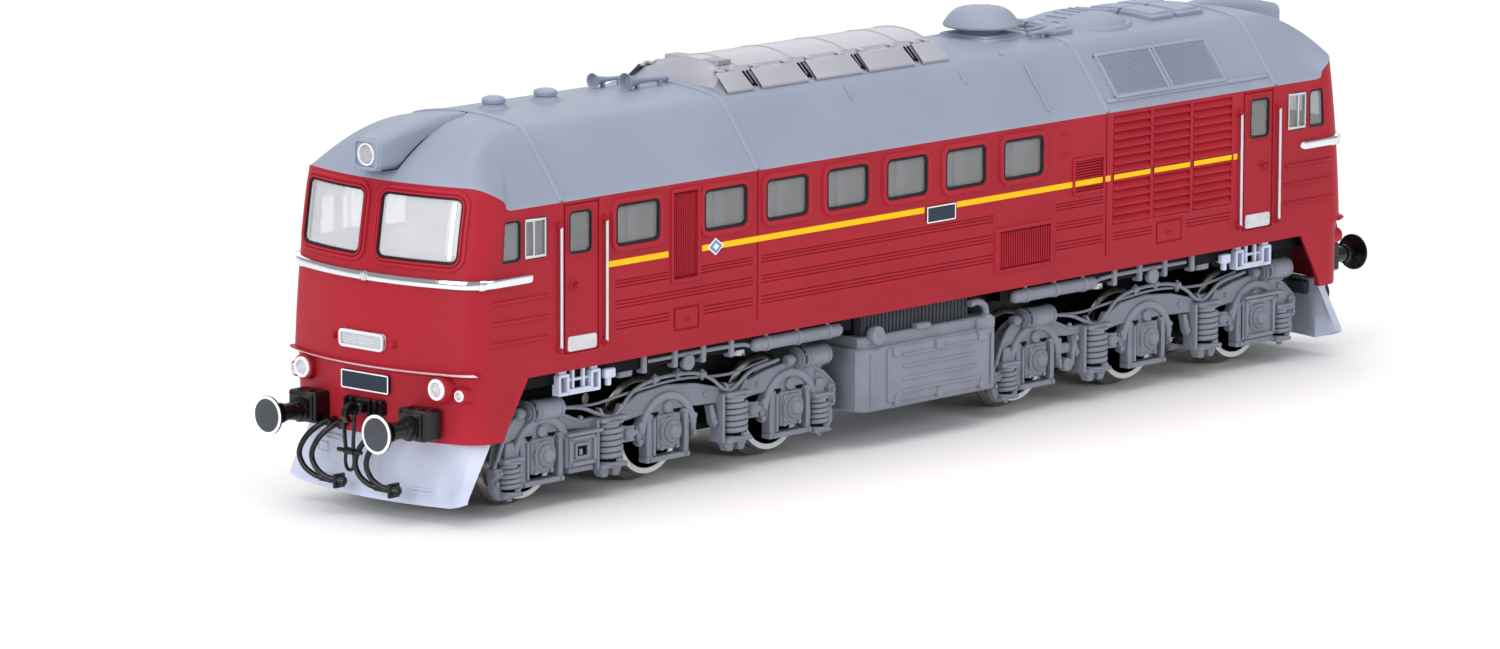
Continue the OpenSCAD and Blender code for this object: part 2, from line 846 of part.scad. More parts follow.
module engine_room_insert() {
    inner = hw - body_wall - glass_t - 1.5;
    end = door_y - 8;
    color([0.7, 0.7, 0.72]) both_sides() {
        block(inner - 1, inner, -end, end, chassis_top + 9.2, eaves_z - 0.6);
        for (y = window_ys) {
            translate([inner + 0.2, y - 1.5, window_z + 2]) rod_x(1.5, 0.6);
            block(inner, inner + 0.5, y + 1, y + 2.6, window_z, window_z + 4.4);
        }
    }
}

module circuit_board() {
    color([0.1, 0.35, 0.2]) {
        block(-7.4, 7.4, -30, 30, motor_z + 9.6, motor_z + 10.6);
        block(-4, 4, -12, -2, motor_z + 10.6, motor_z + 12.4);
        block(-3, 3, 6, 13, motor_z + 10.6, motor_z + 12);
        for (y = [-29, 27.5]) both_sides() block(4.9, 6.5, y, y + 1.5, chassis_top + 0.02, motor_z + 9.6);
    }
}

module loudspeaker() {
    color([0.15, 0.15, 0.16]) translate([0, 31, 0]) {
        block(-6, 6, 0, 12.5, motor_z + 5.6, motor_z + 10.6);
        for (x = [-5, 5]) block(x - 0.7, x + 0.7, 0.5, 2, chassis_top + 0.02, motor_z + 5.6);
    }
}

// ---- motor ----
module motor_case() {
    color([0.45, 0.46, 0.5]) translate([0, 0, motor_z]) difference() {
        union() {
            intersection() {
                rod_y(motor_d / 2, motor_len);
                block(-motor_d, motor_d, -far, far, -motor_d / 2 + 0.6, motor_d / 2 - 0.6);
            }
            rod_y(2.6, motor_len + 1);
            both_sides() block(motor_d / 2 - 1.4, well_x - fit_gap, -6, 6, -1.6, 1.6);
        }
        rod_y(axle_d / 2 + running_gap, far);
        rod_y(motor_d / 2 - 1.2, motor_len - 2);
    }
}

shaft_end = motor_len / 2 + flywheel_w + 3;

module motor_shaft() {
    color([0.8, 0.8, 0.83]) translate([0, 0, motor_z]) {
        rod_y(axle_d / 2, 2 * shaft_end);
        rod_y(motor_d / 2 - 1.9, motor_len - 8);
        translate([0, motor_len / 2 - 3, 0]) rod_y(2.4, 2.4);
    }
}

module flywheels() {
    color([0.72, 0.6, 0.3]) for (s = [-1, 1])
        translate([0, s * (motor_len / 2 + 1 + flywheel_w / 2), motor_z]) difference() {
            rod_y(flywheel_d / 2, flywheel_w);
            rod_y(axle_d / 2, far);
        }
}

// play of a cardan cup round the shaft or the ball in it
cup_gap = 0.3;
ball_r = 1.1;
// radius of the gear pins and of the worm shaft
pin_r = 0.8;

module cardan() {
    inner = shaft_end - 1.6;
    color([0.15, 0.15, 0.16]) difference() {
        union() {
            translate([0, -(inner + 1.6), 0]) rod_y(2, 3.2);
            translate([0, -(inner + 3 + pivot_y - 1.4) / 2, 0]) rod_y(0.9, pivot_y - inner - 2.4);
            translate([0, -pivot_y + 1, 0]) rod_y(2, 3.4);
        }
        translate([0, -(inner + 0.75), 0]) rod_y(axle_d / 2 + cup_gap, 2);
        translate([0, -pivot_y + 0.05, 0]) rod_y(ball_r + cup_gap - 0.05, 2.7);
    }
}

module cardan_front() {
    translate([0, 0, motor_z]) cardan();
}

module cardan_rear() {
    translate([0, 0, motor_z]) rotate(180) cardan();
}

// ---- gears ----
train_dy = axle_pitch / 2;
worm_r = 2.1;
// The train runs in a straight line from the worm wheel down to each driven axle.
train_sum = wheel_teeth + 2 * idler_teeth + axle_teeth;
wheel_z = motor_z - worm_r - 3.6;
train_len = sqrt(pow(train_dy, 2) + pow(wheel_z - axle_z, 2));
gear_m = 2 * train_len / train_sum;
wheel_pitch_r = gear_m * wheel_teeth / 2;
idler_pitch_r = gear_m * idler_teeth / 2;
axle_pitch_r = gear_m * axle_teeth / 2;
worm_axis_z = wheel_z + wheel_pitch_r + worm_r;
idler_share = (wheel_pitch_r + idler_pitch_r) / train_len;
idler_dy = train_dy * idler_share;
idler_z = wheel_z - (wheel_z - axle_z) * idler_share;
train_angle = atan2(wheel_z - axle_z, train_dy);

// Involute flank: angle swept from the base circle out to radius r.
function inv_at(r, base) = r <= base ? 0 : let (c = acos(base / r)) tan(c) * 180 / PI - c;

function tooth(teeth, m, k) =
    let (pr = m * teeth / 2, base = pr * cos(20), root = pr - 1.2 * m, tip = pr + 0.85 * m)
    let (half = 90 / teeth - backlash / pr * 90 / PI, ref = inv_at(pr, base))
    let (mid = 360 * k / teeth, start = max(root, base))
    let (radii = [for (i = [0:4]) start + (tip - start) * i / 4])
    concat(
        [[root, mid - half - ref]],
        [for (r = radii) [r, mid - half - ref + inv_at(r, base)]],
        [for (i = [4:-1:0]) [radii[i], mid + half + ref - inv_at(radii[i], base)]],
        [[root, mid + half + ref]]
    );

function gear_points(teeth, m) =
    [for (k = [0:teeth - 1]) for (p = tooth(teeth, m, k)) [p[0] * cos(p[1]), p[0] * sin(p[1])]];

// A gear whose axis lies along X; phase is the angle of its first tooth in the Y-Z plane.
module gear(teeth, phase, bore) {
    rotate([90, 0, 90]) linear_extrude(gear_w, center = true) rotate(phase) difference() {
        polygon(gear_points(teeth, gear_m));
        circle(r = bore, $fn = 32);
    }
}

// Phase that lets a gear of n teeth mesh with one of m teeth at phase p, seen in direction dir.
function mesh_phase(p, m, n, dir) = dir + 180 + (dir - p) * m / n + 180 / n;

// ---- bogies: modules are written for the front bogie, around its pivot ----
module at_front() {
    translate([0, -pivot_y, 0]) children();
}

module at_rear() {
    translate([0, pivot_y, 0]) rotate(180) children();
}

wheel_phase = 90;
dir_outer = 180 + train_angle;
dir_inner = 360 - train_angle;

module worm_wheel() {
    color([0.85, 0.85, 0.8]) translate([0, -train_dy, wheel_z]) {
        gear(wheel_teeth, wheel_phase, pin_r);
        rod_x(pin_r, pin_len);
    }
}

module idler(side) {
    dir = side < 0 ? dir_outer : dir_inner;
    color([0.85, 0.85, 0.8]) translate([0, -train_dy + side * idler_dy, idler_z]) {
        gear(idler_teeth, mesh_phase(wheel_phase, wheel_teeth, idler_teeth, dir), pin_r);
        rod_x(pin_r, pin_len);
    }
}

function axle_gear_phase(dir) =
    mesh_phase(mesh_phase(wheel_phase, wheel_teeth, idler_teeth, dir), idler_teeth, axle_teeth, dir);

function worm_ring(i, n, lead, r0) =
    let (a = 360 * i / n, y = lead * i / n)
    [for (p = [[r0, -0.42], [r0, 0.42], [1, 0.16], [1, -0.16]]) let (
        rr = p[0] == 1 ? worm_r + 0.75 * gear_m : p[0],
        yy = y + p[1] * lead * 0.88
    ) [rr * cos(a), yy, rr * sin(a)]];

module worm() {
    lead = PI * gear_m;
    turns = 4;
    n = 20;
    rings = turns * n;
    core = worm_r - 1.15 * gear_m;
    pts = [for (i = [0:rings]) each worm_ring(i, n, lead, core - 0.1)];
    sides = [for (i = [0:rings - 1], k = [0:3]) [
        4 * i + k, 4 * i + (k + 1) % 4, 4 * (i + 1) + (k + 1) % 4, 4 * (i + 1) + k
    ]];
    color([0.75, 0.6, 0.3]) translate([0, 0, worm_axis_z]) {
        translate([0, -train_dy - lead * (turns / 2 + worm_shift), 0])
            polyhedron(pts, concat([[3, 2, 1, 0]], sides, [[for (k = [0:3]) 4 * rings + k]]), convexity = 8);
        translate([0, -train_dy, 0]) rod_y(core, 2 * tower_half - 3.4);
        translate([0, -(train_dy + tower_half) / 2 - 0.3, 0]) rod_y(pin_r, train_dy + tower_half - 1);
        sphere(r = ball_r, $fn = 24);
        translate([0, -1.2, 0]) rod_y(pin_r, 2.4);
    }
}

worm_shift = 0.25;
tower_half = 7.8;
box_x = 4.2;
slot_x = gear_w / 2 + 0.5;
pin_len = 2 * box_x - 0.6;
box_end = axle_pitch + 4.5;

module gearbox() {
    cavity_r = idler_pitch_r + gear_m + 0.5;
    wheel_cav = wheel_pitch_r + gear_m + 0.4;
    color([0.3, 0.31, 0.34]) difference() {
        union() {
            block(-box_x, box_x, -box_end, box_end, 5, 12);
            block(-box_x, box_x, -train_dy - tower_half, -train_dy + tower_half, 11, worm_axis_z + 3.6);
            translate([0, 0, 12]) intersection() {
                cylinder(r = turntable_r, h = chassis_top - 12, $fn = 96);
                block(-far, far, -far, far, chassis_z - 12, far);
            }
            translate([0, 0, 15.2]) cylinder(r = turntable_r + 1, h = chassis_z - 0.1 - 15.2, $fn = 96);
            block(-box_x, box_x, -5, 5.5, 11, chassis_z);
        }
        // space for the gears and the worm
        block(-slot_x, slot_x, -box_end + 2, 4.6, 4, 8);
        for (s = [-1, 0, 1]) translate([0, -train_dy + s * idler_dy, s == 0 ? wheel_z : idler_z])
            rod_x(s == 0 ? wheel_cav : cavity_r, 2 * slot_x);
        for (y = [-axle_pitch, 0]) translate([0, y, axle_z]) rod_x(axle_pitch_r + gear_m + 0.4, 2 * slot_x);
        translate([0, -train_dy, worm_axis_z]) rod_y(worm_r + gear_m + 0.4, 2 * tower_half - 2.8);
        translate([0, -train_dy, worm_axis_z]) rod_y(pin_r + running_gap, 20);
        translate([0, 0, worm_axis_z]) rod_y(turntable_r - 2.4, 9.4);
        block(-5, 5, -4.3, far, worm_axis_z - 3, worm_axis_z + 9);
        // slots that the axles drop into, and bores of the gear pins
        for (y = [-axle_pitch, 0, axle_pitch]) translate([0, y, 0]) {
            translate([0, 0, axle_z]) rod_x(axle_d / 2 + running_gap, 20);
            block(-20, 20, -axle_d / 2 - running_gap, axle_d / 2 + running_gap, 0, axle_z);
        }
        for (s = [-1, 0, 1]) translate([0, -train_dy + s * idler_dy, s == 0 ? wheel_z : idler_z])
            rod_x(pin_r + running_gap, 20);
        for (s = [-1, 1]) translate([0, s * 0.75 * axle_pitch, 0])
            translate([0, 0, 4]) cylinder(d = 1, h = 6);
    }
}

module keeper_plate() {
    color([0.22, 0.23, 0.25]) difference() {
        union() {
            block(-box_x, box_x, -box_end, box_end, 4.1, 4.95);
            for (y = [-axle_pitch, 0, axle_pitch]) for (s = [-1, 1])
                translate([s * (box_x + slot_x) / 2, y, 0])
                    block(-0.9, 0.9, -0.8, 0.8, 4.1, axle_z - axle_d / 2 - running_gap);
        }
        for (y = [-axle_pitch, 0]) translate([0, y, axle_z]) rod_x(axle_pitch_r + gear_m + 0.4, 2 * slot_x);
    }
}

module wheel_disc() {
    // section of one wheel: web, rim and flange, with its back at x = 0
    rotate([0, 90, 0]) rotate_extrude($fn = 64) polygon([
        [axle_d / 2, 0.3],
        [1.9, 0.2],
        [2.4, 0.9],
        [wheel_r - 1.3, 0.9],
        [wheel_r - 0.9, 0],
        [wheel_r + flange_h - 0.2, 0],
        [wheel_r + flange_h, 0.25],
        [wheel_r + flange_h, 0.55],
        [wheel_r + 0.1, 1],
        [wheel_r, wheel_w - 0.2],
        [wheel_r - 0.2, wheel_w],
        [wheel_r - 0.9, wheel_w],
        [wheel_r - 1.2, wheel_w - 0.7],
        [2.4, wheel_w - 0.8],
        [2, wheel_w - 0.3],
        [axle_d / 2, wheel_w - 0.3]
    ]);
}

module wheelset(y, driven, dir) {
    color([0.45, 0.4, 0.33]) translate([0, y, axle_z]) {
        rod_x(axle_d / 2, back_to_back + 2 * wheel_w - 0.4);
        both_sides() translate([back_to_back / 2, 0, 0]) wheel_disc();
        if (driven) gear(axle_teeth, axle_gear_phase(dir), 0.2);
    }
}

// ---- bogie side frames ----
frame_in = back_to_back / 2 + wheel_w + 1;
frame_t = 1.5;

module frame_outline() {
    // beam with a hump over each axle
    beam_top = axle_z + 5;
    for (y = [-axle_pitch, 0, axle_pitch]) translate([y, axle_z]) difference() {
        union() {
            translate([0, 0.6]) circle(r = 5.2, $fn = 48);
            translate([-3.4, -2.6]) square([6.8, 4]);
        }
        translate([-10, -22.6]) square([20, 20]);
    }
    translate([-axle_pitch, beam_top - 2.2]) square([2 * axle_pitch, 2.6]);
    for (y = [-1, 1]) translate([y * axle_pitch / 2 - 5.6, 8]) square([11.2, 4.2]);
    for (s = [-1, 1]) polygon([
        [s * (axle_pitch + 2), beam_top - 2], [s * (axle_pitch + 4.4), beam_top - 2],
        [s * tip_dy, 5.6], [s * tip_dy, 4.6], [s * (tip_dy - 2.6), 4.6]
    ]);
}

tip_dy = 33.4;

module side_details() {
    for (y = [-axle_pitch, 0, axle_pitch]) translate([frame_in + frame_t, y, axle_z + 0.4]) {
        for (s = [-1, 1]) block(-0.1, 0.5, s * 2.9 - 0.5, s * 2.9 + 0.5, -3, 2.6);
        block(-0.1, 0.7, -1.9, 1.9, -2, 2);
        translate([0.9, 0, 0]) rod_x(1.35, 0.9);
        translate([1.3, 0, 0]) rod_x(0.8, 1);
    }
    // coil springs between the axles and at the ends
    for (s = [-1, 1]) {
        translate([frame_in + frame_t + 0.4, s * axle_pitch / 2 + 0.7, 5.2]) {
            for (i = [0:5]) translate([0, 0, 0.35 + i * 0.74]) cylinder(r = 1.9, h = 0.5);
            cylinder(r = 1.55, h = 4.6);
            block(-1.6, 1.2, -2.2, 2.2, 4.5, 5);
            block(-1.6, 1.2, -2.2, 2.2, -0.3, 0.2);
        }
        translate([frame_in + frame_t - 0.2, s * 30.6, 3.4]) {
            for (i = [0:4]) translate([0, 0, 0.2 + i * 0.7]) cylinder(r = 1.5, h = 0.45);
            cylinder(r = 1.1, h = 3.4);
        }
        // brake cylinder on each end hump
        translate([frame_in + frame_t - 0.3, s * (axle_pitch - 2.4), axle_z + 6.1]) {
            rod_y(1.25, 4);
            translate([0, s * 3, -0.3]) rod_y(0.8, 2.4);
        }
    }
}

module sideframes() {
    color([0.5, 0.52, 0.56]) {
        both_sides() {
            translate([frame_in + frame_t / 2, 0, 0]) along_x(frame_t) frame_outline();
            intersection() {
                side_details();
                block(frame_in + 0.1, far, -far, far, 2.2, 15);
            }
        }
        // stretchers that clip over the gearbox
        for (y = [-axle_pitch / 2, axle_pitch / 2]) both_sides()
            block(box_x + 0.02, frame_in + 0.2, y - 1.6, y + 1.6, 8.6, 11.4);
        for (s = [-1, 1]) translate([0, s * (tip_dy - 0.9), 0])
            block(-frame_in - 0.2, frame_in + 0.2, -0.6, 0.6, 4.7, 6.4);
        for (s = [-1, 1]) translate([0, s * (box_end + tip_dy - 1.5) / 2, 0])
            block(-3, 3, -(tip_dy - 1.5 - box_end) / 2, (tip_dy - 1.5 - box_end) / 2, 5, 6.2);
    }
}

module pickup_shoe() {
    color([0.85, 0.82, 0.75]) at_rear() {
        along_x(5) polygon([
            [-27, 2.2], [-24, 1.3], [24, 1.3], [27, 2.2], [27, 2.6], [23.8, 1.75], [-23.8, 1.75], [-27, 2.6]
        ]);
        for (s = [-1, 1]) block(-1.2, 1.2, s * 12 - 1.5, s * 12 + 1.5, 1.6, 2.6);
    }
}

module gearbox_front() { at_front() gearbox(); }
module gearbox_rear() { at_rear() gearbox(); }
module sideframes_front() { at_front() sideframes(); }
module sideframes_rear() { at_rear() sideframes(); }
module keeper_plate_front() { at_front() keeper_plate(); }
module keeper_plate_rear() { at_rear() keeper_plate(); }
module worm_front() { at_front() worm(); }
module worm_rear() { at_rear() worm(); }
module worm_wheel_front() { at_front() worm_wheel(); }
module worm_wheel_rear() { at_rear() worm_wheel(); }
module outer_idler_front() { at_front() idler(-1); }
module outer_idler_rear() { at_rear() idler(-1); }
module inner_idler_front() { at_front() idler(1); }
module inner_idler_rear() { at_rear() idler(1); }
module wheelset_1() { at_front() wheelset(-axle_pitch, true, dir_outer); }
module wheelset_2() { at_front() wheelset(0, true, dir_inner); }
module wheelset_3() { at_front() wheelset(axle_pitch, false, 0); }
module wheelset_4() { at_rear() wheelset(axle_pitch, false, 0); }
module wheelset_5() { at_rear() wheelset(0, true, dir_inner); }
module wheelset_6() { at_rear() wheelset(-axle_pitch, true, dir_outer); }

chassis_frame();
body_shell();
roof_shell();
windscreens();
side_glazing();
window_frames();
trim_bands();
headlamp_fairings();
headlamp_lenses();
marker_lamps();
handrails();
kick_plates();
number_plates();
nose_grilles();
intake_hood();
roof_ventilator();
roof_vent_caps();
roof_horns();
fan_cover();
buffer_housings();
buffers();
coupling_hooks();
brake_hoses();
ploughs();
fuel_tank();
tank_fittings();
air_reservoirs();
cab_steps();
cab_interiors();
engine_room_insert();
circuit_board();
loudspeaker();
motor_case();
chassis_screws();
motor_shaft();
flywheels();
cardan_front();
cardan_rear();
gearbox_front();
sideframes_front();
keeper_plate_front();
worm_front();
worm_wheel_front();
outer_idler_front();
inner_idler_front();
wheelset_1();
wheelset_2();
wheelset_3();
gearbox_rear();
sideframes_rear();
keeper_plate_rear();
worm_rear();
worm_wheel_rear();
outer_idler_rear();
inner_idler_rear();
wheelset_4();
wheelset_5();
wheelset_6();
pickup_shoe();
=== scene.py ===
"""Looks of a model diesel locomotive with two cabs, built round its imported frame.

Sizes are in millimetres on the model; X is across it, Y along it and Z up, and every mesh is
turned into metres when it is made.
"""

import logging
import math
from collections.abc import Callable, Sequence
from dataclasses import dataclass, field
from enum import Enum

import bmesh
import bpy
from mathutils import Matrix, Vector


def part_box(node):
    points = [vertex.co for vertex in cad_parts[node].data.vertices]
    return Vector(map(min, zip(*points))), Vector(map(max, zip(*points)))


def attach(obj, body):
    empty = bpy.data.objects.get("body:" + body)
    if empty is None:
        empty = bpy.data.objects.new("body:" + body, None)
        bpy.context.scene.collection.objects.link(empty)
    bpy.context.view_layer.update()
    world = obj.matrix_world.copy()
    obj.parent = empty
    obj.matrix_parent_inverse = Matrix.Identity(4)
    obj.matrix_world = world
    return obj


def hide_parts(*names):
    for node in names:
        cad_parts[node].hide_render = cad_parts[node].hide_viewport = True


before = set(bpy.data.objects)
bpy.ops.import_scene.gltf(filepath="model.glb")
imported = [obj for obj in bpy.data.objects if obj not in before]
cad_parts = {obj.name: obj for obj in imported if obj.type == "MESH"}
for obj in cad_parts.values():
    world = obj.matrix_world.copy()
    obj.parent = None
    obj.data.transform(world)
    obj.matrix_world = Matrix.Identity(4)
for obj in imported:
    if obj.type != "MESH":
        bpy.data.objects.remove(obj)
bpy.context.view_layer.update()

LOG = logging.getLogger("locomotive")
MM = 0.001
MAIN_BODY = "locomotive"

Vec2 = tuple[float, float]
Vec3 = tuple[float, float, float]
Place = Callable[[float, float, float], Vec3]
Socket = bpy.types.NodeSocket


# ---- plane outlines
def arc(cx: float, cy: float, r: float, start: float, end: float, steps: int) -> list[Vec2]:
    """Points on a round arc.

    Args:
        cx: Middle of the arc, first coordinate.
        cy: Middle of the arc, second coordinate.
        r: Radius.
        start: First angle in degrees.
        end: Last angle in degrees.
        steps: Number of chords.

    Returns:
        The points from start to end.
    """
    turns = [math.radians(start + (end - start) * i / steps) for i in range(steps + 1)]
    return [(cx + r * math.cos(a), cy + r * math.sin(a)) for a in turns]


def round_rect(x0: float, x1: float, y0: float, y1: float, r: float, steps: int = 4) -> list[Vec2]:
    """A rectangle with round corners.

    Args:
        x0: Left edge.
        x1: Right edge.
        y0: Bottom edge.
        y1: Top edge.
        r: Corner radius.
        steps: Chords in each corner.

    Returns:
        The outline, anticlockwise.
    """
    corners = [(x1 - r, y1 - r, 0), (x0 + r, y1 - r, 90), (x0 + r, y0 + r, 180), (x1 - r, y0 + r, 270)]
    return [p for cx, cy, a in corners for p in arc(cx, cy, r, a, a + 90, steps)]


def inset(outline: Sequence[Vec2], depth: float) -> list[Vec2]:
    """Moves every side of an outline inwards, keeping the number of points.

    Args:
        outline: The closed outline.
        depth: How far each side moves.

    Returns:
        The smaller outline.
    """
    n = len(outline)
    area = sum(
        outline[i][0] * outline[(i + 1) % n][1] - outline[(i + 1) % n][0] * outline[i][1] for i in range(n)
    )
    way = 1.0 if area > 0 else -1.0
    normals = []
    for i in range(n):
        dx = outline[(i + 1) % n][0] - outline[i][0]
        dy = outline[(i + 1) % n][1] - outline[i][1]
        size = math.hypot(dx, dy) or 1.0
        normals.append((-dy / size * way, dx / size * way))
    moved = []
    for i, (x, y) in enumerate(outline):
        a, b = normals[i - 1], normals[i]
        k = depth / max(1.0 + a[0] * b[0] + a[1] * b[1], 0.4)
        moved.append((x + (a[0] + b[0]) * k, y + (a[1] + b[1]) * k))
    return moved


def spline(points: Sequence[Vec3], steps: int = 6) -> list[Vec3]:
    """A smooth curve through the points.

    Args:
        points: The points that the curve passes.
        steps: Chords between two of them.

    Returns:
        The curve as a dense row of points.
    """
    p = [Vector(q) for q in points]
    p = [2 * p[0] - p[1], *p, 2 * p[-1] - p[-2]]
    row = []
    for i in range(1, len(p) - 2):
        for k in range(steps):
            t = k / steps
            row.append(tuple(0.5 * (
                2 * p[i] + (p[i + 1] - p[i - 1]) * t
                + (2 * p[i - 1] - 5 * p[i] + 4 * p[i + 1] - p[i + 2]) * t * t
                + (3 * p[i] - p[i - 1] - 3 * p[i + 1] + p[i + 2]) * t ** 3
            )))
    row.append(tuple(p[-2]))
    return row


class Axis(Enum):
    """The direction in which a plane outline is drawn out."""

    X = "x"
    Y = "y"
    Z = "z"

    def lift(self, p: Vec2, t: float) -> Vec3:
        """Puts a plane point into space.

        Args:
            p: The point across the axis.
            t: Its place along the axis.

        Returns:
            The point in space.
        """
        if self is Axis.X:
            return (t, p[0], p[1])
        if self is Axis.Y:
            return (p[0], t, p[1])
        return (p[0], p[1], t)


# ---- finishes
class Nodes:
    """A short way to write a shader: makes nodes and joins them."""

    def __init__(self, material: bpy.types.Material) -> None:
        """Starts on an empty node tree of the material."""
        material.use_nodes = True
        self.tree = material.node_tree
        self.shader = self.tree.nodes["Principled BSDF"]
        self.place = self.tree.nodes.new("ShaderNodeTexCoord").outputs["Object"]

    def set(self, **values: object) -> None:
        """Sets sockets of the main shader; an underscore stands for a space."""
        for name, value in values.items():
            self.shader.inputs[name.replace("_", " ")].default_value = value

    def link(self, source: Socket, name: str) -> None:
        """Joins an output to the named socket of the main shader."""
        self.tree.links.new(source, self.shader.inputs[name])

    def noise(self, size: float, detail: float = 3.0, stretch: Vec3 = (1, 1, 1)) -> Socket:
        """Noise whose blotches are about size millimetres across.

        Args:
            size: Size of the blotches in millimetres.
            detail: Number of finer layers.
            stretch: How much shorter the blotches are along each axis.

        Returns:
            The factor output of the noise.
        """
        mapping = self.tree.nodes.new("ShaderNodeMapping")
        mapping.inputs["Scale"].default_value = [s / (size * MM) for s in stretch]
        self.tree.links.new(self.place, mapping.inputs["Vector"])
        noise = self.tree.nodes.new("ShaderNodeTexNoise")
        noise.inputs["Scale"].default_value = 1.0
        noise.inputs["Detail"].default_value = detail
        self.tree.links.new(mapping.outputs["Vector"], noise.inputs["Vector"])
        return noise.outputs["Fac"]

    def ramp(self, source: Socket, low: Sequence[float], high: Sequence[float],
             start: float = 0.35, end: float = 0.65) -> Socket:
        """Turns a factor into a colour between low and high.

        Args:
            source: The factor.
            low: Colour at and below start.
            high: Colour at and above end.
            start: Factor where the change begins.
            end: Factor where it ends.

        Returns:
            The colour output.
        """
        ramp = self.tree.nodes.new("ShaderNodeValToRGB")
        ramp.color_ramp.elements[0].position = start
        ramp.color_ramp.elements[1].position = end
        ramp.color_ramp.elements[0].color = [*low, 1.0]
        ramp.color_ramp.elements[1].color = [*high, 1.0]
        self.tree.links.new(source, ramp.inputs["Fac"])
        return ramp.outputs["Color"]

    def span(self, source: Socket, low: float, high: float) -> Socket:
        """Spreads a noise factor over a range.

        Args:
            source: The factor.
            low: Start of the range.
            high: End of the range.

        Returns:
            The spread factor.
        """
        spread = self.tree.nodes.new("ShaderNodeMapRange")
        spread.inputs["From Min"].default_value = 0.3
        spread.inputs["From Max"].default_value = 0.7
        spread.inputs["To Min"].default_value = low
        spread.inputs["To Max"].default_value = high
        self.tree.links.new(source, spread.inputs["Value"])
        return spread.outputs["Result"]

    def multiply(self, one: Socket, other: Socket) -> Socket:
        """Multiplies two colours.

        Args:
            one: The first colour.
            other: The second colour.

        Returns:
            Their product.
        """
        mix = self.tree.nodes.new("ShaderNodeMix")
        mix.data_type = "RGBA"
        mix.blend_type = "MULTIPLY"
        mix.inputs["Factor"].default_value = 1.0
        self.tree.links.new(one, mix.inputs["A"])
        self.tree.links.new(other, mix.inputs["B"])
        return mix.outputs["Result"]

    def bump(self, source: Socket, height: float) -> None:
        """Raises the surface where a factor is high.

        Args:
            source: The factor.
            height: How far it is raised, in millimetres.
        """
        bump = self.tree.nodes.new("ShaderNodeBump")
        bump.inputs["Distance"].default_value = height * MM
        bump.inputs["Strength"].default_value = 1.0
        self.tree.links.new(source, bump.inputs["Height"])
        self.link(bump.outputs["Normal"], "Normal")

    def edges(self, wear_and_cavity_shade: float) -> Socket:
        """Paler on sharp edges and darker in hollows, as a grey factor around one: partly wear and dust,
        partly a painted highlight on the edges and painted shade in the hollows.
        """
        shape = self.tree.nodes.new("ShaderNodeNewGeometry")
        return self.ramp(shape.outputs["Pointiness"], [1 - wear_and_cavity_shade] * 3, [1 + wear_and_cavity_shade] * 3, 0.44, 0.56)


def srgb(red: int, green: int, blue: int) -> tuple[float, float, float]:
    """Turns a screen colour with channels from 0 to 255 into a linear one."""
    return tuple(
        c / 255 / 12.92 if c <= 10 else ((c / 255 + 0.055) / 1.055) ** 2.4 for c in (red, green, blue)
    )


@dataclass(frozen=True)
class Finish:
    """What every finish has: a name, a colour and how rough it is."""

    name: str
    colour: tuple[float, float, float]
    roughness: float

    def material(self) -> bpy.types.Material:
        """Gives the finish's material, made on first use."""
        name = f"{self.name}_finish"
        made = bpy.data.materials.get(name)
        if made is None:
            made = bpy.data.materials.new(name)
            self.dress(Nodes(made))
        return made

    def dress(self, nodes: Nodes) -> None:
        """Fills in the shader."""
        raise NotImplementedError

    def shade(self, amount: float) -> list[float]:
        """The colour made lighter or darker by a share of itself."""
        return [min(c * (1 + amount), 1.0) for c in self.colour]


@dataclass(frozen=True)
class Paint(Finish):
    """Sprayed model paint: fine grain, faint cloudiness and a soft sheen."""

    shine: float = 0.12
    grain: float = 0.006
    cloud: float = 0.05
    edge_wear_and_shade: float = 0.08

    def dress(self, nodes: Nodes) -> None:
        """Adds clouds of colour, fine grain, slightly paler edges and darker hollows, partly wear and partly
        painted highlight and shade.

        Args:
            nodes: The shader that is filled in.
        """
        cloud = nodes.ramp(nodes.noise(14, 4), self.shade(-self.cloud), self.shade(self.cloud))
        # Base colour darkened in hollows and lightened on sharp edges: painted shade and painted highlight,
        # mixed with edge wear.
        nodes.link(nodes.multiply(cloud, nodes.edges(self.edge_wear_and_shade)), "Base Color")
        grain = nodes.noise(0.12, 2)
        nodes.link(nodes.span(grain, self.roughness - 0.05, self.roughness + 0.06), "Roughness")
        nodes.bump(grain, self.grain)
        nodes.set(Specular_IOR_Level=self.shine)


@dataclass(frozen=True)
class Moulding(Finish):
    """Unpainted moulded plastic: low sheen, flow clouds and a fine eroded surface."""

    grain: float = 0.01
    cloud: float = 0.07
    dust_and_shade: float = 0.12
    shine: float = 0.25

    def dress(self, nodes: Nodes) -> None:
        """Adds flow clouds, grain, and darker hollows with paler edges, partly dust and partly painted shade
        and highlight.

        Args:
            nodes: The shader that is filled in.
        """
        cloud = nodes.ramp(nodes.noise(5, 5), self.shade(-self.cloud), self.shade(self.cloud))
        # Base colour darkened in hollows and lightened on sharp edges: painted shade and painted highlight,
        # mixed with dust.
        nodes.link(nodes.multiply(cloud, nodes.edges(self.dust_and_shade)), "Base Color")
        grain = nodes.noise(0.16, 3)
        nodes.link(nodes.span(grain, self.roughness - 0.08, self.roughness + 0.08), "Roughness")
        nodes.bump(grain, self.grain)
        nodes.set(Specular_IOR_Level=self.shine)


@dataclass(frozen=True)
class Metal(Finish):
    """Bare or plated metal with a fine direction of polish."""

    polish: Vec3 = (1.0, 1.0, 1.0)
    grain: float = 0.003
    spread: float = 0.06
    tone: float = 0.06

    def dress(self, nodes: Nodes) -> None:
        """Adds the marks of polishing and small changes of tone.

        Args:
            nodes: The shader that is filled in.
        """
        marks = nodes.noise(0.25, 4, self.polish)
        nodes.link(nodes.ramp(nodes.noise(3, 3), self.shade(-self.tone), self.shade(self.tone)), "Base Color")
        low = max(self.roughness - self.spread, 0.02)
        nodes.link(nodes.span(marks, low, self.roughness + self.spread), "Roughness")
        nodes.bump(marks, self.grain)
        nodes.set(Metallic=1.0)


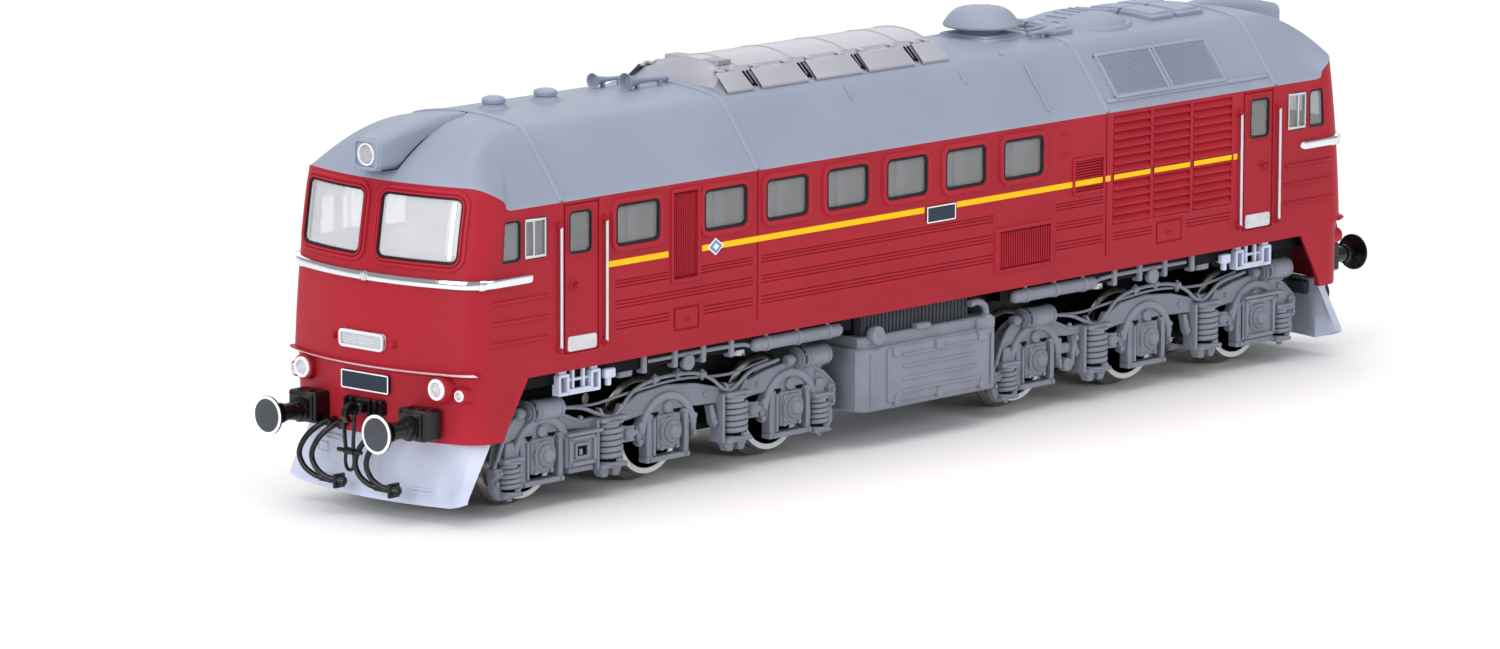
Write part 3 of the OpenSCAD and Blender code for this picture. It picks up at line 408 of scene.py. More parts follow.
@dataclass(frozen=True)
class Clear(Finish):
    """Clear moulded plastic for windows and lenses, with a faint grey tint."""

    ripple: float = 0.004
    veil: float = 0.1

    def dress(self, nodes: Nodes) -> None:
        """Adds a soft ripple and traces of smear.

        Args:
            nodes: The shader that is filled in.
        """
        smear = nodes.noise(2.5, 3)
        nodes.link(nodes.span(smear, self.roughness, self.roughness + 0.05), "Roughness")
        nodes.link(nodes.ramp(smear, self.shade(-0.03), self.shade(0.02)), "Base Color")
        nodes.bump(nodes.noise(1.2, 1), self.ripple)
        nodes.set(Transmission_Weight=1 - self.veil, IOR=1.46)


BODY_RED = Paint("body_red", srgb(164, 36, 49), 0.42)
RAIL_RED = Paint("bracket_red", srgb(150, 28, 40), 0.45)
ROOF_GREY = Paint("roof_grey", srgb(143, 150, 167), 0.5, shine=0.2, cloud=0.03)
STRIPE_YELLOW = Paint("stripe_yellow", srgb(250, 196, 12), 0.4, cloud=0.03, edge_wear_and_shade=0.0)
WHITE = Paint("print_white", srgb(246, 246, 248), 0.4, cloud=0.02, edge_wear_and_shade=0.0)
PLATE_DARK = Paint("plate_dark", srgb(48, 58, 70), 0.4, cloud=0.04, edge_wear_and_shade=0.0)
BADGE_BLUE = Paint("badge_blue", srgb(112, 148, 196), 0.4, cloud=0.05, edge_wear_and_shade=0.0)
SILVER = Metal("silver_paint", srgb(214, 215, 219), 0.36)
NOSE_SILVER = Paint("nose_silver", srgb(208, 210, 214), 0.3, shine=0.5, cloud=0.04)
HOOD_SILVER = Paint("hood_silver", srgb(162, 161, 171), 0.34, shine=0.7, cloud=0.05)
CHROME = Metal("chrome_trim", srgb(228, 230, 234), 0.08, spread=0.03, tone=0.02)
BLACK = Moulding("black_plastic", srgb(12, 12, 14), 0.24, shine=0.4)
GASKET = Moulding("window_gasket", srgb(16, 15, 18), 0.4)
UNDER_GREY = Moulding("underframe_grey", srgb(120, 124, 135), 0.5, dust_and_shade=0.25)
DARK_GREY = Moulding("dark_underframe_grey", srgb(62, 66, 74), 0.6)
LIGHT_GREY = Moulding("light_grey", srgb(192, 199, 219), 0.5)
INTERIOR = Moulding("interior_grey", srgb(214, 215, 222), 0.6)
ENGINE_GREY = Moulding("engine_room_grey", srgb(104, 105, 114), 0.6)
BUFFER_FACE = Moulding("buffer_face_grey", srgb(66, 70, 76), 0.5)
SHAFT_BLACK = Moulding("shaft_plastic", srgb(30, 30, 32), 0.45)
ACETAL = Moulding("gear_plastic", srgb(226, 222, 206), 0.4, dust_and_shade=0.18)
# Dark metal made near black as painted shade for the underframe below the body; the gearbox and the hood's
# struts share it.
CHASSIS = Metal("chassis_metal", srgb(30, 31, 34), 0.55, spread=0.1, tone=0.12)
# Near-black painted shade: the cores inside the coil springs, the middles of the box hatches and small dark
# patches on the bogie frames.
SHADOW = Moulding("painted_recess_shade", srgb(14, 14, 16), 0.7, shine=0.1)
STEEL = Metal("motor_steel", srgb(176, 178, 184), 0.28, polish=(1, 12, 1))
BRASS = Metal("brass_gear", srgb(206, 168, 98), 0.26, polish=(1, 12, 1))
SHOE_STEEL = Metal("shoe_metal", srgb(222, 216, 206), 0.2, polish=(1, 8, 1))
WHEEL_BROWN = Moulding("wheel_brown", srgb(126, 100, 74), 0.4, cloud=0.14, dust_and_shade=0.2)
TREAD_STEEL = Metal("wheel_tread", srgb(150, 146, 140), 0.24, polish=(10, 1, 1))
BOARD_GREEN = Moulding("board_green", srgb(28, 84, 56), 0.35)
WINDOW_CLEAR = Clear("glazing", (0.93, 0.95, 0.96), 0.02)
SCREEN_CLEAR = Clear("screen_glazing", (0.93, 0.94, 0.97), 0.02, veil=0.5)
LENS_CLEAR = Clear("lamp_lens", (0.97, 0.97, 0.98), 0.03, ripple=0.03, veil=0.3)


# ---- mesh building
class Mould:
    """Gathers the faces of one piece in millimetres."""

    def __init__(self) -> None:
        """Starts empty."""
        self.points: list[Vec3] = []
        self.faces: list[tuple[int, ...]] = []
        self.slots: list[int] = []

    def add(self, points: Sequence[Vec3], faces: Sequence[Sequence[int]], slot: int = 0) -> None:
        """Adds points and the faces between them.

        Args:
            points: The new points.
            faces: Faces as numbers of the new points.
            slot: Which finish of the piece they take.
        """
        base = len(self.points)
        self.points.extend(points)
        self.faces.extend(tuple(base + i for i in f) for f in faces)
        self.slots.extend([slot] * len(faces))

    def loft(self, loops: Sequence[Sequence[Vec3]], slot: int = 0, closed: bool = True,
             caps: bool = False) -> None:
        """Joins rows of equally many points with quads.

        Args:
            loops: The rows.
            slot: Which finish of the piece they take.
            closed: Whether each row is a closed loop.
            caps: Whether the first and last loops are filled.
        """
        n = len(loops[0])
        points = [p for loop in loops for p in loop]
        span = n if closed else n - 1
        faces = [
            (r * n + i, r * n + (i + 1) % n, (r + 1) * n + (i + 1) % n, (r + 1) * n + i)
            for r in range(len(loops) - 1) for i in range(span)
        ]
        if caps:
            faces.append(tuple(range(n - 1, -1, -1)))
            faces.append(tuple(range((len(loops) - 1) * n, len(loops) * n)))
        self.add(points, faces, slot)

    def prism(self, outline: Sequence[Vec2], axis: Axis, low: float, high: float, bevel: float = 0.08,
              slot: int = 0) -> None:
        """Draws an outline out along an axis, with broken edges.

        Args:
            outline: The outline across the axis.
            axis: The axis.
            low: Start along the axis.
            high: End along the axis.
            bevel: Width of the broken edges.
            slot: Which finish of the piece it takes.
        """
        small = inset(outline, bevel)
        steps = [(small, low), (outline, low + bevel), (outline, high - bevel), (small, high)]
        self.loft([[axis.lift(p, t) for p in shape] for shape, t in steps], slot, caps=True)

    def frame(self, outer: Sequence[Vec2], width: float, axis: Axis, low: float, high: float,
              bevel: float = 0.06, slot: int = 0) -> None:
        """A frame of even width: an outline drawn out, with its middle open.

        Args:
            outer: The outer outline.
            width: Width of the frame's bars.
            axis: The axis that it is drawn along.
            low: Start along the axis.
            high: End along the axis.
            bevel: Width of the broken edges.
            slot: Which finish of the piece it takes.
        """
        inner = inset(outer, width)
        steps = [
            (outer, low), (outer, high - bevel), (inset(outer, bevel), high),
            (inset(outer, width - bevel), high), (inner, high - bevel), (inner, low), (outer, low)
        ]
        self.loft([[axis.lift(p, t) for p in shape] for shape, t in steps], slot)

    def block(self, x: Vec2, y: Vec2, z: Vec2, bevel: float = 0.1, slot: int = 0) -> None:
        """A box with all its edges broken.

        Args:
            x: Lowest and highest X.
            y: Lowest and highest Y.
            z: Lowest and highest Z.
            bevel: Width of the broken edges.
            slot: Which finish of the piece it takes.
        """
        x, y, z = sorted(x), sorted(y), sorted(z)
        bevel = min(bevel, 0.3 * min(x[1] - x[0], y[1] - y[0], z[1] - z[0]))
        outline = round_rect(x[0], x[1], y[0], y[1], bevel, 1)
        self.prism(outline, Axis.Z, z[0], z[1], bevel, slot)

    def turned(self, start: Vec3, along: Vec3, profile: Sequence[Vec2], sides: int = 24,
               slot: int = 0) -> None:
        """A turned shape on an axis from start along a direction.

        Args:
            start: Point on the axis where the profile's distances begin.
            along: Direction of the axis.
            profile: Distance along the axis and radius, point by point.
            sides: Number of sides.
            slot: Which finish of the piece it takes.
        """
        way = Vector(along).normalized()
        side = way.orthogonal().normalized()
        other = way.cross(side)
        loops = []
        for distance, r in profile:
            middle = Vector(start) + way * distance
            loops.append([
                tuple(middle + (side * math.cos(a) + other * math.sin(a)) * max(r, 0.002))
                for a in (2 * math.pi * i / sides for i in range(sides))
            ])
        self.loft(loops, slot, caps=True)

    def rod(self, start: Vec3, end: Vec3, r: float, sides: int = 16, bevel: float = 0.08,
            slot: int = 0) -> None:
        """A round rod between two points, with broken ends.

        Args:
            start: Middle of one end.
            end: Middle of the other end.
            r: Radius.
            sides: Number of sides.
            bevel: Width of the broken ends.
            slot: Which finish of the piece it takes.
        """
        long = (Vector(end) - Vector(start)).length
        way = tuple(Vector(end) - Vector(start))
        profile = [(0, r - bevel), (bevel, r), (long - bevel, r), (long, r - bevel)]
        self.turned(start, way, profile, sides, slot)

    def tube(self, path: Sequence[Vec3], r: float, sides: int = 10, slot: int = 0,
             flat: float = 1.0) -> None:
        """A round bar swept along a path.

        Args:
            path: The points of its middle line.
            r: Radius.
            sides: Number of sides.
            slot: Which finish of the piece it takes.
            flat: Height of the section as a share of its width.
        """
        points = [Vector(p) for p in path]
        side = None
        loops = []
        for i, p in enumerate(points):
            way = (points[min(i + 1, len(points) - 1)] - points[max(i - 1, 0)]).normalized()
            side = way.orthogonal() if side is None else side - way * side.dot(way)
            side.normalize()
            other = way.cross(side)
            loops.append([
                tuple(p + (side * math.cos(a) + other * math.sin(a) * flat) * r)
                for a in (2 * math.pi * k / sides for k in range(sides))
            ])
        self.loft(loops, slot, caps=True)

    def copy(self, move: Callable[[Vec3], Vec3], start: int = 0) -> None:
        """Adds a moved copy of what is there.

        Args:
            move: Where each point goes.
            start: The first face that is copied.
        """
        faces, slots = self.faces[start:], self.slots[start:]
        used = sorted({i for f in faces for i in f})
        where = {old: len(self.points) + new for new, old in enumerate(used)}
        self.points.extend(move(self.points[i]) for i in used)
        self.faces.extend(tuple(where[i] for i in f) for f in faces)
        self.slots.extend(slots)

    def both_sides(self, start: int = 0) -> None:
        """Adds the mirror image on the other side."""
        self.copy(lambda p: (-p[0], p[1], p[2]), start)

    def both_ends(self, start: int = 0) -> None:
        """Adds the same half a turn round, for the other end."""
        self.copy(lambda p: (-p[0], -p[1], p[2]), start)

    def piece(self, name: str, finishes: Sequence[Finish], body: str = MAIN_BODY,
              replaces: Sequence[str] = (), slot: str = "", sharp: float = 32.0) -> bpy.types.Object:
        """Makes the Blender piece.

        Args:
            name: Name of the piece.
            finishes: Its finishes, in the order of their numbers.
            body: The moving body that it belongs to.
            replaces: The frame's nodes that it stands for.
            slot: The record's material slot; not used.
            sharp: Angle in degrees above which an edge stays sharp.

        Returns:
            The new object.
        """
        mesh = bpy.data.meshes.new(name)
        mesh.from_pydata([(x * MM, y * MM, z * MM) for x, y, z in self.points], [], self.faces)
        mesh.polygons.foreach_set("material_index", self.slots)
        for finish in finishes:
            mesh.materials.append(finish.material())
        work = bmesh.new()
        work.from_mesh(mesh)
        bmesh.ops.remove_doubles(work, verts=work.verts, dist=0.001 * MM)
        bmesh.ops.recalc_face_normals(work, faces=work.faces)
        work.to_mesh(mesh)
        work.free()
        mesh.shade_smooth()
        mesh.set_sharp_from_angle(angle=math.radians(sharp))
        made = bpy.data.objects.new(name, mesh)
        bpy.context.scene.collection.objects.link(made)
        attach(made, body)
        if replaces:
            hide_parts(*replaces)
        LOG.info("%s: %d faces on %s", name, len(mesh.polygons), body)
        return made


# ---- form of the body
def box_of(node: str) -> tuple[Vec3, Vec3]:
    """Lowest and highest corners of a CAD node in millimetres."""
    low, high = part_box(node)
    return tuple(low / MM), tuple(high / MM)


def step(x: float, low: float, high: float) -> float:
    """Rises smoothly from 0 at low to 1 at high."""
    t = min(max((x - low) / (high - low), 0.0), 1.0)
    return t * t * (3 - 2 * t)


def blend_min(a: float, b: float, k: float) -> float:
    """The lower of two heights, rounded over a width k."""
    h = max(k - abs(a - b), 0.0) / k
    return min(a, b) - h * h * k / 4


@dataclass
class BodyForm:
    """Where the outer surface of the body lies.

    A place on it is a distance u along the half plan, which is the Y of the side and goes on
    round the corners to the middle of each front, a height z, and a distance d out of it.
    """

    half_w: float = field(default_factory=lambda: box_of("roof_shell")[1][0] - 0.1)
    nose: float = field(default_factory=lambda: box_of("trim_bands")[1][1] + 0.4)
    eaves: float = field(default_factory=lambda: box_of("roof_shell")[0][2])
    ridge: float = field(default_factory=lambda: box_of("roof_vent_caps")[0][2])
    bottom: float = field(default_factory=lambda: box_of("body_shell")[0][2])
    front_r: float = 43.0
    corner_r: float = 4.0
    ledge: float = 20.2
    skirt: float = 18.7
    front_eaves: float = 44.2
    slope_start: float = 75.0
    slope_long: float = 15.3

    def __post_init__(self) -> None:
        """Works out where the corner begins and ends."""
        middle = self.nose - self.front_r
        self.turn = math.asin((self.half_w - self.corner_r) / (self.front_r - self.corner_r))
        self.side_end = middle + (self.front_r - self.corner_r) * math.cos(self.turn)
        self.corner_end = self.side_end + self.corner_r * (math.pi / 2 - self.turn)
        self.u_end = self.corner_end + self.front_r * self.turn

    def lean(self, z: float) -> float:
        """How far the front stands back from the nose.

        Args:
            z: The height.

        Returns:
            The distance.
        """
        if z < self.ledge:
            return 0.75 + 0.03 * (self.ledge - 0.8 - z)
        up = z - self.ledge
        return 0.045 * up + 0.0031 * up * up

    def front_u(self, x: float) -> float:
        """The distance along the plan of a place on the front at x from the middle."""
        return self.u_end - self.front_r * math.asin(x / self.front_r)

    def plan(self, u: float, d: float = 0.0) -> Vec2:
        """The place in plan.

        Args:
            u: Distance along the plan.
            d: Distance out of it.

        Returns:
            Its X and Y.
        """
        way = 1.0 if u >= 0 else -1.0
        t = abs(u)
        if t <= self.side_end:
            return (self.half_w + d, u)
        if t < self.corner_end:
            a = (t - self.side_end) / self.corner_r
            r = self.corner_r + d
            x = self.half_w - self.corner_r + r * math.cos(a)
            return (x, way * (self.side_end + r * math.sin(a)))
        a = (self.u_end - t) / self.front_r
        r = self.front_r + d
        return (r * math.sin(a), way * (self.nose - self.front_r + r * math.cos(a)))

    def at(self, u: float, z: float, d: float = 0.0) -> Vec3:
        """A place on the body.

        Args:
            u: Distance along the plan.
            z: Height.
            d: Distance out of the surface.

        Returns:
            The point.
        """
        tuck = 0.12 * max(self.ledge + 0.8 - z, 0) / 2.3 if abs(u) < self.side_end - 8 else 0
        x, y = self.plan(u, d - tuck)
        back = self.lean(z) * step(abs(u), self.side_end - 4, self.side_end)
        return (x, y - math.copysign(back, u), z)

    def top(self, u: float) -> float:
        """Height of the roof's edge at distance u."""
        rise = self.front_eaves - self.eaves
        return self.eaves + rise * step(abs(u), self.side_end - 4.4, self.corner_end)

    def roof(self, x: float, y: float) -> float:
        """Height of the roof above a place in plan.

        Args:
            x: X of the place.
            y: Y of the place.

        Returns:
            The height.
        """
        x = min(abs(x), self.half_w)
        side = blend_min(self.eaves + 1.33 * (self.half_w - x), self.ridge - 0.0112 * x * x, 1.3)
        front = self.nose - self.lean(self.front_eaves)
        edge = front - self.front_r + math.sqrt(self.front_r ** 2 - x * x)
        d = max(edge - abs(y), 0.0)
        rise = self.ridge - self.front_eaves
        slope = self.front_eaves + rise * (1 - (1 - min(d / self.slope_long, 1)) ** 1.7) ** 0.8
        return blend_min(side, slope + max(0.0, d - self.slope_long) * 0.6, 0.9)

    def ridge_y(self, u: float) -> float:
        """Where a row of roof points ends on the ridge.

        Args:
            u: Distance along the plan where the row begins.

        Returns:
            The Y of its end.
        """
        t = abs(u)
        if t < 60:
            return u
        share = (t - 60) / (self.u_end - 60)
        return math.copysign(60 + (self.slope_start - 60) * share ** 0.8, u)


@dataclass(frozen=True)
class Mark:
    """A rectangle on the body that stands out by rise, or is sunk where rise is below 0."""

    u: Vec2
    z: Vec2
    rise: float
    bevel: float = 0.08


@dataclass(frozen=True)
class Opening:
    """A window opening with round corners and a raised lip.

    The steps of the lip are pairs of width outside the opening and height above the body.
    """

    u: Vec2
    z: Vec2
    r: float = 0.9
    lip: tuple[Vec2, ...] = ((0.85, 0.0), (0.72, 0.28), (0.12, 0.28), (0.0, 0.08), (0.0, -1.0))
    room: float = 1.25

    def near(self, p: Vec2, out: float) -> Vec2:
        """The nearest place on the moved outline.

        Args:
            p: The place that is looked from.
            out: How far the outline is moved out.

        Returns:
            The nearest place.
        """
        r = max(self.r + out, 0.12)
        u0, u1 = self.u[0] - out + r, self.u[1] + out - r
        z0, z1 = self.z[0] - out + r, self.z[1] + out - r
        c = (min(max(p[0], u0), u1), min(max(p[1], z0), z1))
        size = math.hypot(p[0] - c[0], p[1] - c[1]) or 1.0
        return (c[0] + (p[0] - c[0]) * r / size, c[1] + (p[1] - c[1]) * r / size)

    def lines(self, across: Vec2) -> list[float]:
        """Grid lines that the opening needs along one direction.

        Args:
            across: The opening's ends in that direction.

        Returns:
            The lines.
        """
        low, high = across[0] - self.room, across[1] + self.room
        ends = self.room + self.r
        parts = [0, 0.35, 0.65, 0.85, 1.0]
        return [low + ends * p for p in parts] + [high - ends * p for p in parts]

    def outline(self, out: float = 0.0, steps: int = 5) -> list[Vec2]:
        """The outline moved out by some width."""
        r = max(self.r + out, 0.12)
        return round_rect(self.u[0] - out, self.u[1] + out, self.z[0] - out, self.z[1] + out, r, steps)


def thin(values: Sequence[float], gap: float = 0.012) -> list[float]:
    """Sorts values and drops those that nearly repeat the one before.

    Args:
        values: The values.
        gap: Least difference between two kept values.

    Returns:
        The kept values.
    """
    kept: list[float] = []
    for v in sorted(values):
        if not kept or v - kept[-1] > gap:
            kept.append(v)
    return kept


@dataclass
class Skin:
    """A curved sheet with marks and openings, made on an uneven grid of lines."""

    place: Place
    u_lines: list[float]
    z_lines: list[float]
    marks: list[Mark] = field(default_factory=list)
    openings: list[Opening] = field(default_factory=list)

    def rise(self, u: float, z: float) -> float:
        """How far the sheet stands out at a place, from all its marks.

        Args:
            u: Distance along the sheet.
            z: Height.

        Returns:
            The distance.
        """
        total = 0.0
        for m in self.marks:
            side = min(u - m.u[0], m.u[1] - u, z - m.z[0], m.z[1] - z)
            if side > 0.001:
                total += m.rise * min(side / m.bevel, 1.0)
        return total

    def grid(self) -> tuple[list[float], list[float]]:
        """All lines of the grid along the sheet and up it."""
        u, z = list(self.u_lines), list(self.z_lines)
        for m in self.marks:
            for lines, (low, high) in ((u, m.u), (z, m.z)):
                lines.extend([low, low + m.bevel, high - m.bevel, high])
        for o in self.openings:
            u.extend(o.lines(o.u))
            z.extend(o.lines(o.z))
        in_u = [v for v in u if self.u_lines[0] <= v <= self.u_lines[-1]]
        in_z = [v for v in z if self.z_lines[0] <= v <= self.z_lines[-1]]
        return thin(in_u), thin(in_z)

    def build(self, mould: Mould, slot: int = 0, mirror: bool = True) -> None:
        """Adds the sheet to a mould.

        Args:
            mould: Where its faces go.
            slot: Which finish it takes.
            mirror: Whether the other side of the model gets it too.
        """
        start = len(mould.faces)
        u, z = self.grid()
        rows = [[self.place(a, b, self.rise(a, b)) for a in u] for b in z]
        zones = [
            (o.u[0] - o.room, o.u[1] + o.room, o.z[0] - o.room, o.z[1] + o.room) for o in self.openings
        ]

        def open_at(a: float, b: float) -> bool:
            """Whether a place lies in the zone of an opening."""
            return any(q[0] < a < q[1] and q[2] < b < q[3] for q in zones)

        n = len(u)
        faces = [
            (j * n + i, j * n + i + 1, (j + 1) * n + i + 1, (j + 1) * n + i)
            for j in range(len(z) - 1) for i in range(n - 1)
            if not open_at((u[i] + u[i + 1]) / 2, (z[j] + z[j + 1]) / 2)
        ]
        mould.add([p for row in rows for p in row], faces, slot)
        for o, q in zip(self.openings, zones):
            du = [a for a in u if q[0] - 0.02 <= a <= q[1] + 0.02]
            dz = [b for b in z if q[2] - 0.02 <= b <= q[3] + 0.02]
            ring = [(a, dz[0]) for a in du] + [(du[-1], b) for b in dz[1:]]
            ring += [(a, dz[-1]) for a in reversed(du[:-1])] + [(du[0], b) for b in reversed(dz[1:-1])]
            loops = [[self.place(a, b, self.rise(a, b)) for a, b in ring]]
            for out, rise in o.lip:
                loops.append([self.place(*o.near(p, out), rise) for p in ring])
            mould.loft(loops, slot)
        if mirror:
            mould.both_sides(start)


def spread(low: float, high: float, most: float) -> list[float]:
    """Evenly spaced values from low to high, up or down, no further apart than most."""
    n = max(1, math.ceil(abs(high - low) / most))
    return [low + (high - low) * i / n for i in range(n + 1)]


def pane(mould: Mould, place: Place, opening: Opening, out: float,
         depth: Vec2, slot: int = 0, shrink: float = 0.0) -> None:
    """A filled pane that follows the curved sheet, shaped like an opening.

    Args:
        mould: Where its faces go.
        place: The sheet.
        opening: Its shape.
        out: How much wider than the opening it is.
        depth: Depths of its back and its face.
        slot: Which finish it takes.
        shrink: How far its face's edge is broken.
    """
    us = spread(opening.u[0] - out, opening.u[1] + out, 1.0)
    lows = []
    highs = []
    for share in (0.0, 0.04, 0.12, 0.5, 0.88, 0.96, 1.0):
        row_low, row_high = [], []
        for u in us:
            z = opening.z[0] - out + (opening.z[1] - opening.z[0] + 2 * out) * share
            a, b = (u, z)
            r = max(opening.r + out, 0.12)
            c = (
                min(max(a, opening.u[0] - out + r), opening.u[1] + out - r),
                min(max(b, opening.z[0] - out + r), opening.z[1] + out - r),
            )
            far = math.hypot(a - c[0], b - c[1])
            if far > r:
                a, b = c[0] + (a - c[0]) * r / far, c[1] + (b - c[1]) * r / far
            edge = u in (us[0], us[-1]) or share in (0.0, 1.0)
            row_low.append(place(a, b, depth[0]))
            row_high.append(place(a, b, depth[1] - (shrink if edge else 0.0)))
        lows.append(row_low)
        highs.append(row_high)
    mould.loft(highs, slot, closed=False)
    mould.loft(lows, slot, closed=False)
    ring = [(0, i) for i in range(len(us))] + [(j, len(us) - 1) for j in range(1, 7)]
    ring += [(6, i) for i in range(len(us) - 2, -1, -1)] + [(j, 0) for j in range(5, 0, -1)]
    mould.loft([[highs[j][i] for j, i in ring], [lows[j][i] for j, i in ring]], slot)


def band(mould: Mould, place: Place, opening: Opening,
         steps: Sequence[Vec2], slot: int = 0) -> None:
    """A closed ring that follows the curved sheet round an opening.

    Args:
        mould: Where its faces go.
        place: The sheet.
        opening: Its shape.
        steps: Pairs of width outside the opening and height above the sheet, all round the section.
        slot: Which finish it takes.
    """
    u0, u1, z0, z1 = (*opening.u, *opening.z)
    far = 3.0
    ends = opening.r + far
    parts = [ends * p - far for p in (0, 0.3, 0.55, 0.7, 0.85, 1)]
    us = thin([u0 + p for p in parts] + spread(u0 + 1, u1 - 1, 1.5) + [u1 - p for p in parts])
    zs = thin([z0 + p for p in parts] + [z1 - p for p in parts])
    ring = [(a, zs[0]) for a in us] + [(us[-1], b) for b in zs[1:]]
    ring += [(a, zs[-1]) for a in reversed(us[:-1])] + [(us[0], b) for b in reversed(zs[1:-1])]
    loops = [[place(*opening.near(p, out), rise) for p in ring] for out, rise in [*steps, steps[0]]]
    mould.loft(loops, slot)


# ---- body shell
@dataclass
class Shell:
    """The painted body with its windows, doors, grilles, stripes, plates and trim."""

    form: BodyForm
    window_z: Vec2 = (34.05, 39.55)
    window_w: float = 8.35
    window_middles: tuple[float, ...] = (-59.1, -42.1, -30.0, -17.9, -5.8, 6.3, 18.4)
    door_window: Vec2 = (67.8, 72.1)
    door_edges: Vec2 = (66.5, 72.9)
    cab_panes: tuple[Vec2, Vec2] = ((76.2, 80.5), (81.1, 85.4))
    screen_x: Vec2 = (1.55, 13.95)
    screen_z: Vec2 = (34.4, 42.9)
    stripe_z: Vec2 = (31.45, 32.25)
    stripe_y: tuple[Vec2, ...] = ((-64.7, -53.1), (-46.6, -2.1), (4.6, 37.2))
    plate_y: Vec2 = (-1.7, 4.2)
    plate_z: Vec2 = (29.95, 32.2)
    tall_grille: tuple[Vec2, Vec2] = ((-52.2, -47.55), (28.3, 39.9))
    square_grille: tuple[Vec2, Vec2] = ((29.4, 35.5), (30.65, 35.05))
    low_grille: tuple[Vec2, Vec2] = ((13.5, 24.3), (21.7, 27.0))
    louvre_y: tuple[Vec2, ...] = ((37.7, 45.9), (46.5, 54.6), (55.2, 63.8))
    louvre_z: Vec2 = (25.2, 40.5)
    louvre_rows: int = 13
    hatches: tuple[Vec2, ...] = ((-52.1, -47.1), (47.2, 52.9))
    hatch_z: Vec2 = (21.35, 24.6)
    trim_z: Vec2 = (31.15, 32.5)
    trim_start: float = 79.0
    apron_start: float = 79.7
    ledge_start: float = 88.9
    rail_y: Vec2 = (74.0, 65.4)
    rail_z: Vec2 = (21.9, 37.9)

    def windows(self) -> list[Opening]:
        """The seven engine room windows."""
        half = self.window_w / 2
        return [Opening((y - half, y + half), self.window_z) for y in self.window_middles]

    def both_cabs(self, spans: Sequence[Vec2], z: Vec2, r: float, lip: tuple[Vec2, ...],
                  room: float) -> list[Opening]:
        """The same openings at both cabs.

        Args:
            spans: Their ends along the plan of cab two.
            z: Their bottom and top.
            r: Radius of their corners.
            lip: Steps of their raised lip.
            room: Width that the lip needs round them.

        Returns:
            The openings.
        """
        return [Opening(s, z, r, lip, room) for low, high in spans for s in ((-high, -low), (low, high))]

    def small_windows(self) -> list[Opening]:
        """The door windows and the two panes of each cab side window."""
        lip = ((0.3, 0.0), (0.22, 0.12), (0.08, 0.12), (0.0, 0.02), (0.0, -1.0))
        thin_lip = ((0.22, 0.0), (0.16, 0.08), (0.05, 0.08), (0.0, 0.02), (0.0, -1.0))
        doors = self.both_cabs([self.door_window], (34.0, 39.65), 0.8, lip, 0.5)
        return doors + self.both_cabs(self.cab_panes, (34.25, 39.65), 0.7, thin_lip, 0.26)

    def screens(self) -> list[Opening]:
        """The windscreens on one half of both fronts."""
        lip = (
            (0.95, 0.0), (0.86, 0.3), (0.52, 0.3), (0.46, 0.14), (0.34, 0.14), (0.28, 0.42), (0.06, 0.42),
            (0.0, 0.1), (0.0, -1.2)
        )
        span = (self.form.front_u(self.screen_x[1]), self.form.front_u(self.screen_x[0]))
        return self.both_cabs([span], self.screen_z, 1.1, lip, 1.15)

    def marks(self) -> list[Mark]:
        """Grooves, beads, seams, hatches and recesses of one side."""
        marks = []
        runs = {
            (29.45, 29.05, 28.6): [(-63.3, -53.1), (-46.7, -36.5), (-34.9, 12.4), (25.5, 35.7)],
            (26.75, 26.3, 25.85): [(-63.3, -36.5), (-34.9, 12.4), (25.5, 35.7)],
            (24.0, 23.5, 23.05): [
                (-63.3, -52.9), (-46.3, -36.5), (-34.9, 12.4), (25.5, 35.7), (37.8, 46.3), (53.8, 63.8)
            ],
        }
        for heights, spans in runs.items():
            for z in heights:
                marks += [Mark(span, (z - 0.1, z + 0.1), -0.16, 0.07) for span in spans]
        for way in (-1, 1):
            for z in (29.2, 26.5, 23.8):
                marks.append(Mark(tuple(sorted((way * 75.9, way * 87.0))), (z - 0.24, z + 0.24), 0.3, 0.13))
            low, high = sorted((way * self.door_edges[0], way * self.door_edges[1]))
            marks.append(Mark((low - 0.16, low + 0.16), (20.95, 40.9), -0.3, 0.06))
            marks.append(Mark((high - 0.16, high + 0.16), (20.95, 40.9), -0.3, 0.06))
            marks.append(Mark((low + 0.16, high - 0.16), (40.45, 40.7), -0.25, 0.06))
            marks.append(Mark((low + 0.16, high - 0.16), (20.95, 21.15), -0.25, 0.05))
        for y in (-35.7, 36.3):
            marks.append(Mark((y - 0.13, y + 0.13), (20.95, 41.0), -0.2, 0.06))
        for span in self.hatches:
            marks.append(Mark(span, self.hatch_z, -0.16, 0.06))
            inner = (span[0] + 0.3, span[1] - 0.3)
            marks.append(Mark(inner, (self.hatch_z[0] + 0.3, self.hatch_z[1] - 0.3), 0.26, 0.08))
        marks.append(Mark(*self.tall_grille, -0.5, 0.1))
        marks.append(Mark(*self.square_grille, -0.4, 0.1))
        (y0, y1), (z0, z1) = self.low_grille
        marks.append(Mark((y0 - 0.9, y1 + 0.4), (z0 - 0.5, z1 + 0.6), 0.2, 0.1))
        marks.append(Mark((y0, y1), (z0, z1), -0.5, 0.1))
        for span in self.louvre_y:
            marks.append(Mark(span, self.louvre_z, -0.5, 0.08))
        for z in (39.1, 36.2):
            marks.append(Mark((26.6, 28.2), (z - 0.14, z + 0.14), 0.22, 0.07))
        return marks

    def sheet(self) -> Skin:
        """The sides and fronts above the skirt's edge."""
        f = self.form

        def place(u: float, z: float, d: float) -> Vec3:
            """A place on the body, never above its edge."""
            return f.at(u, min(z, f.top(u)), d)

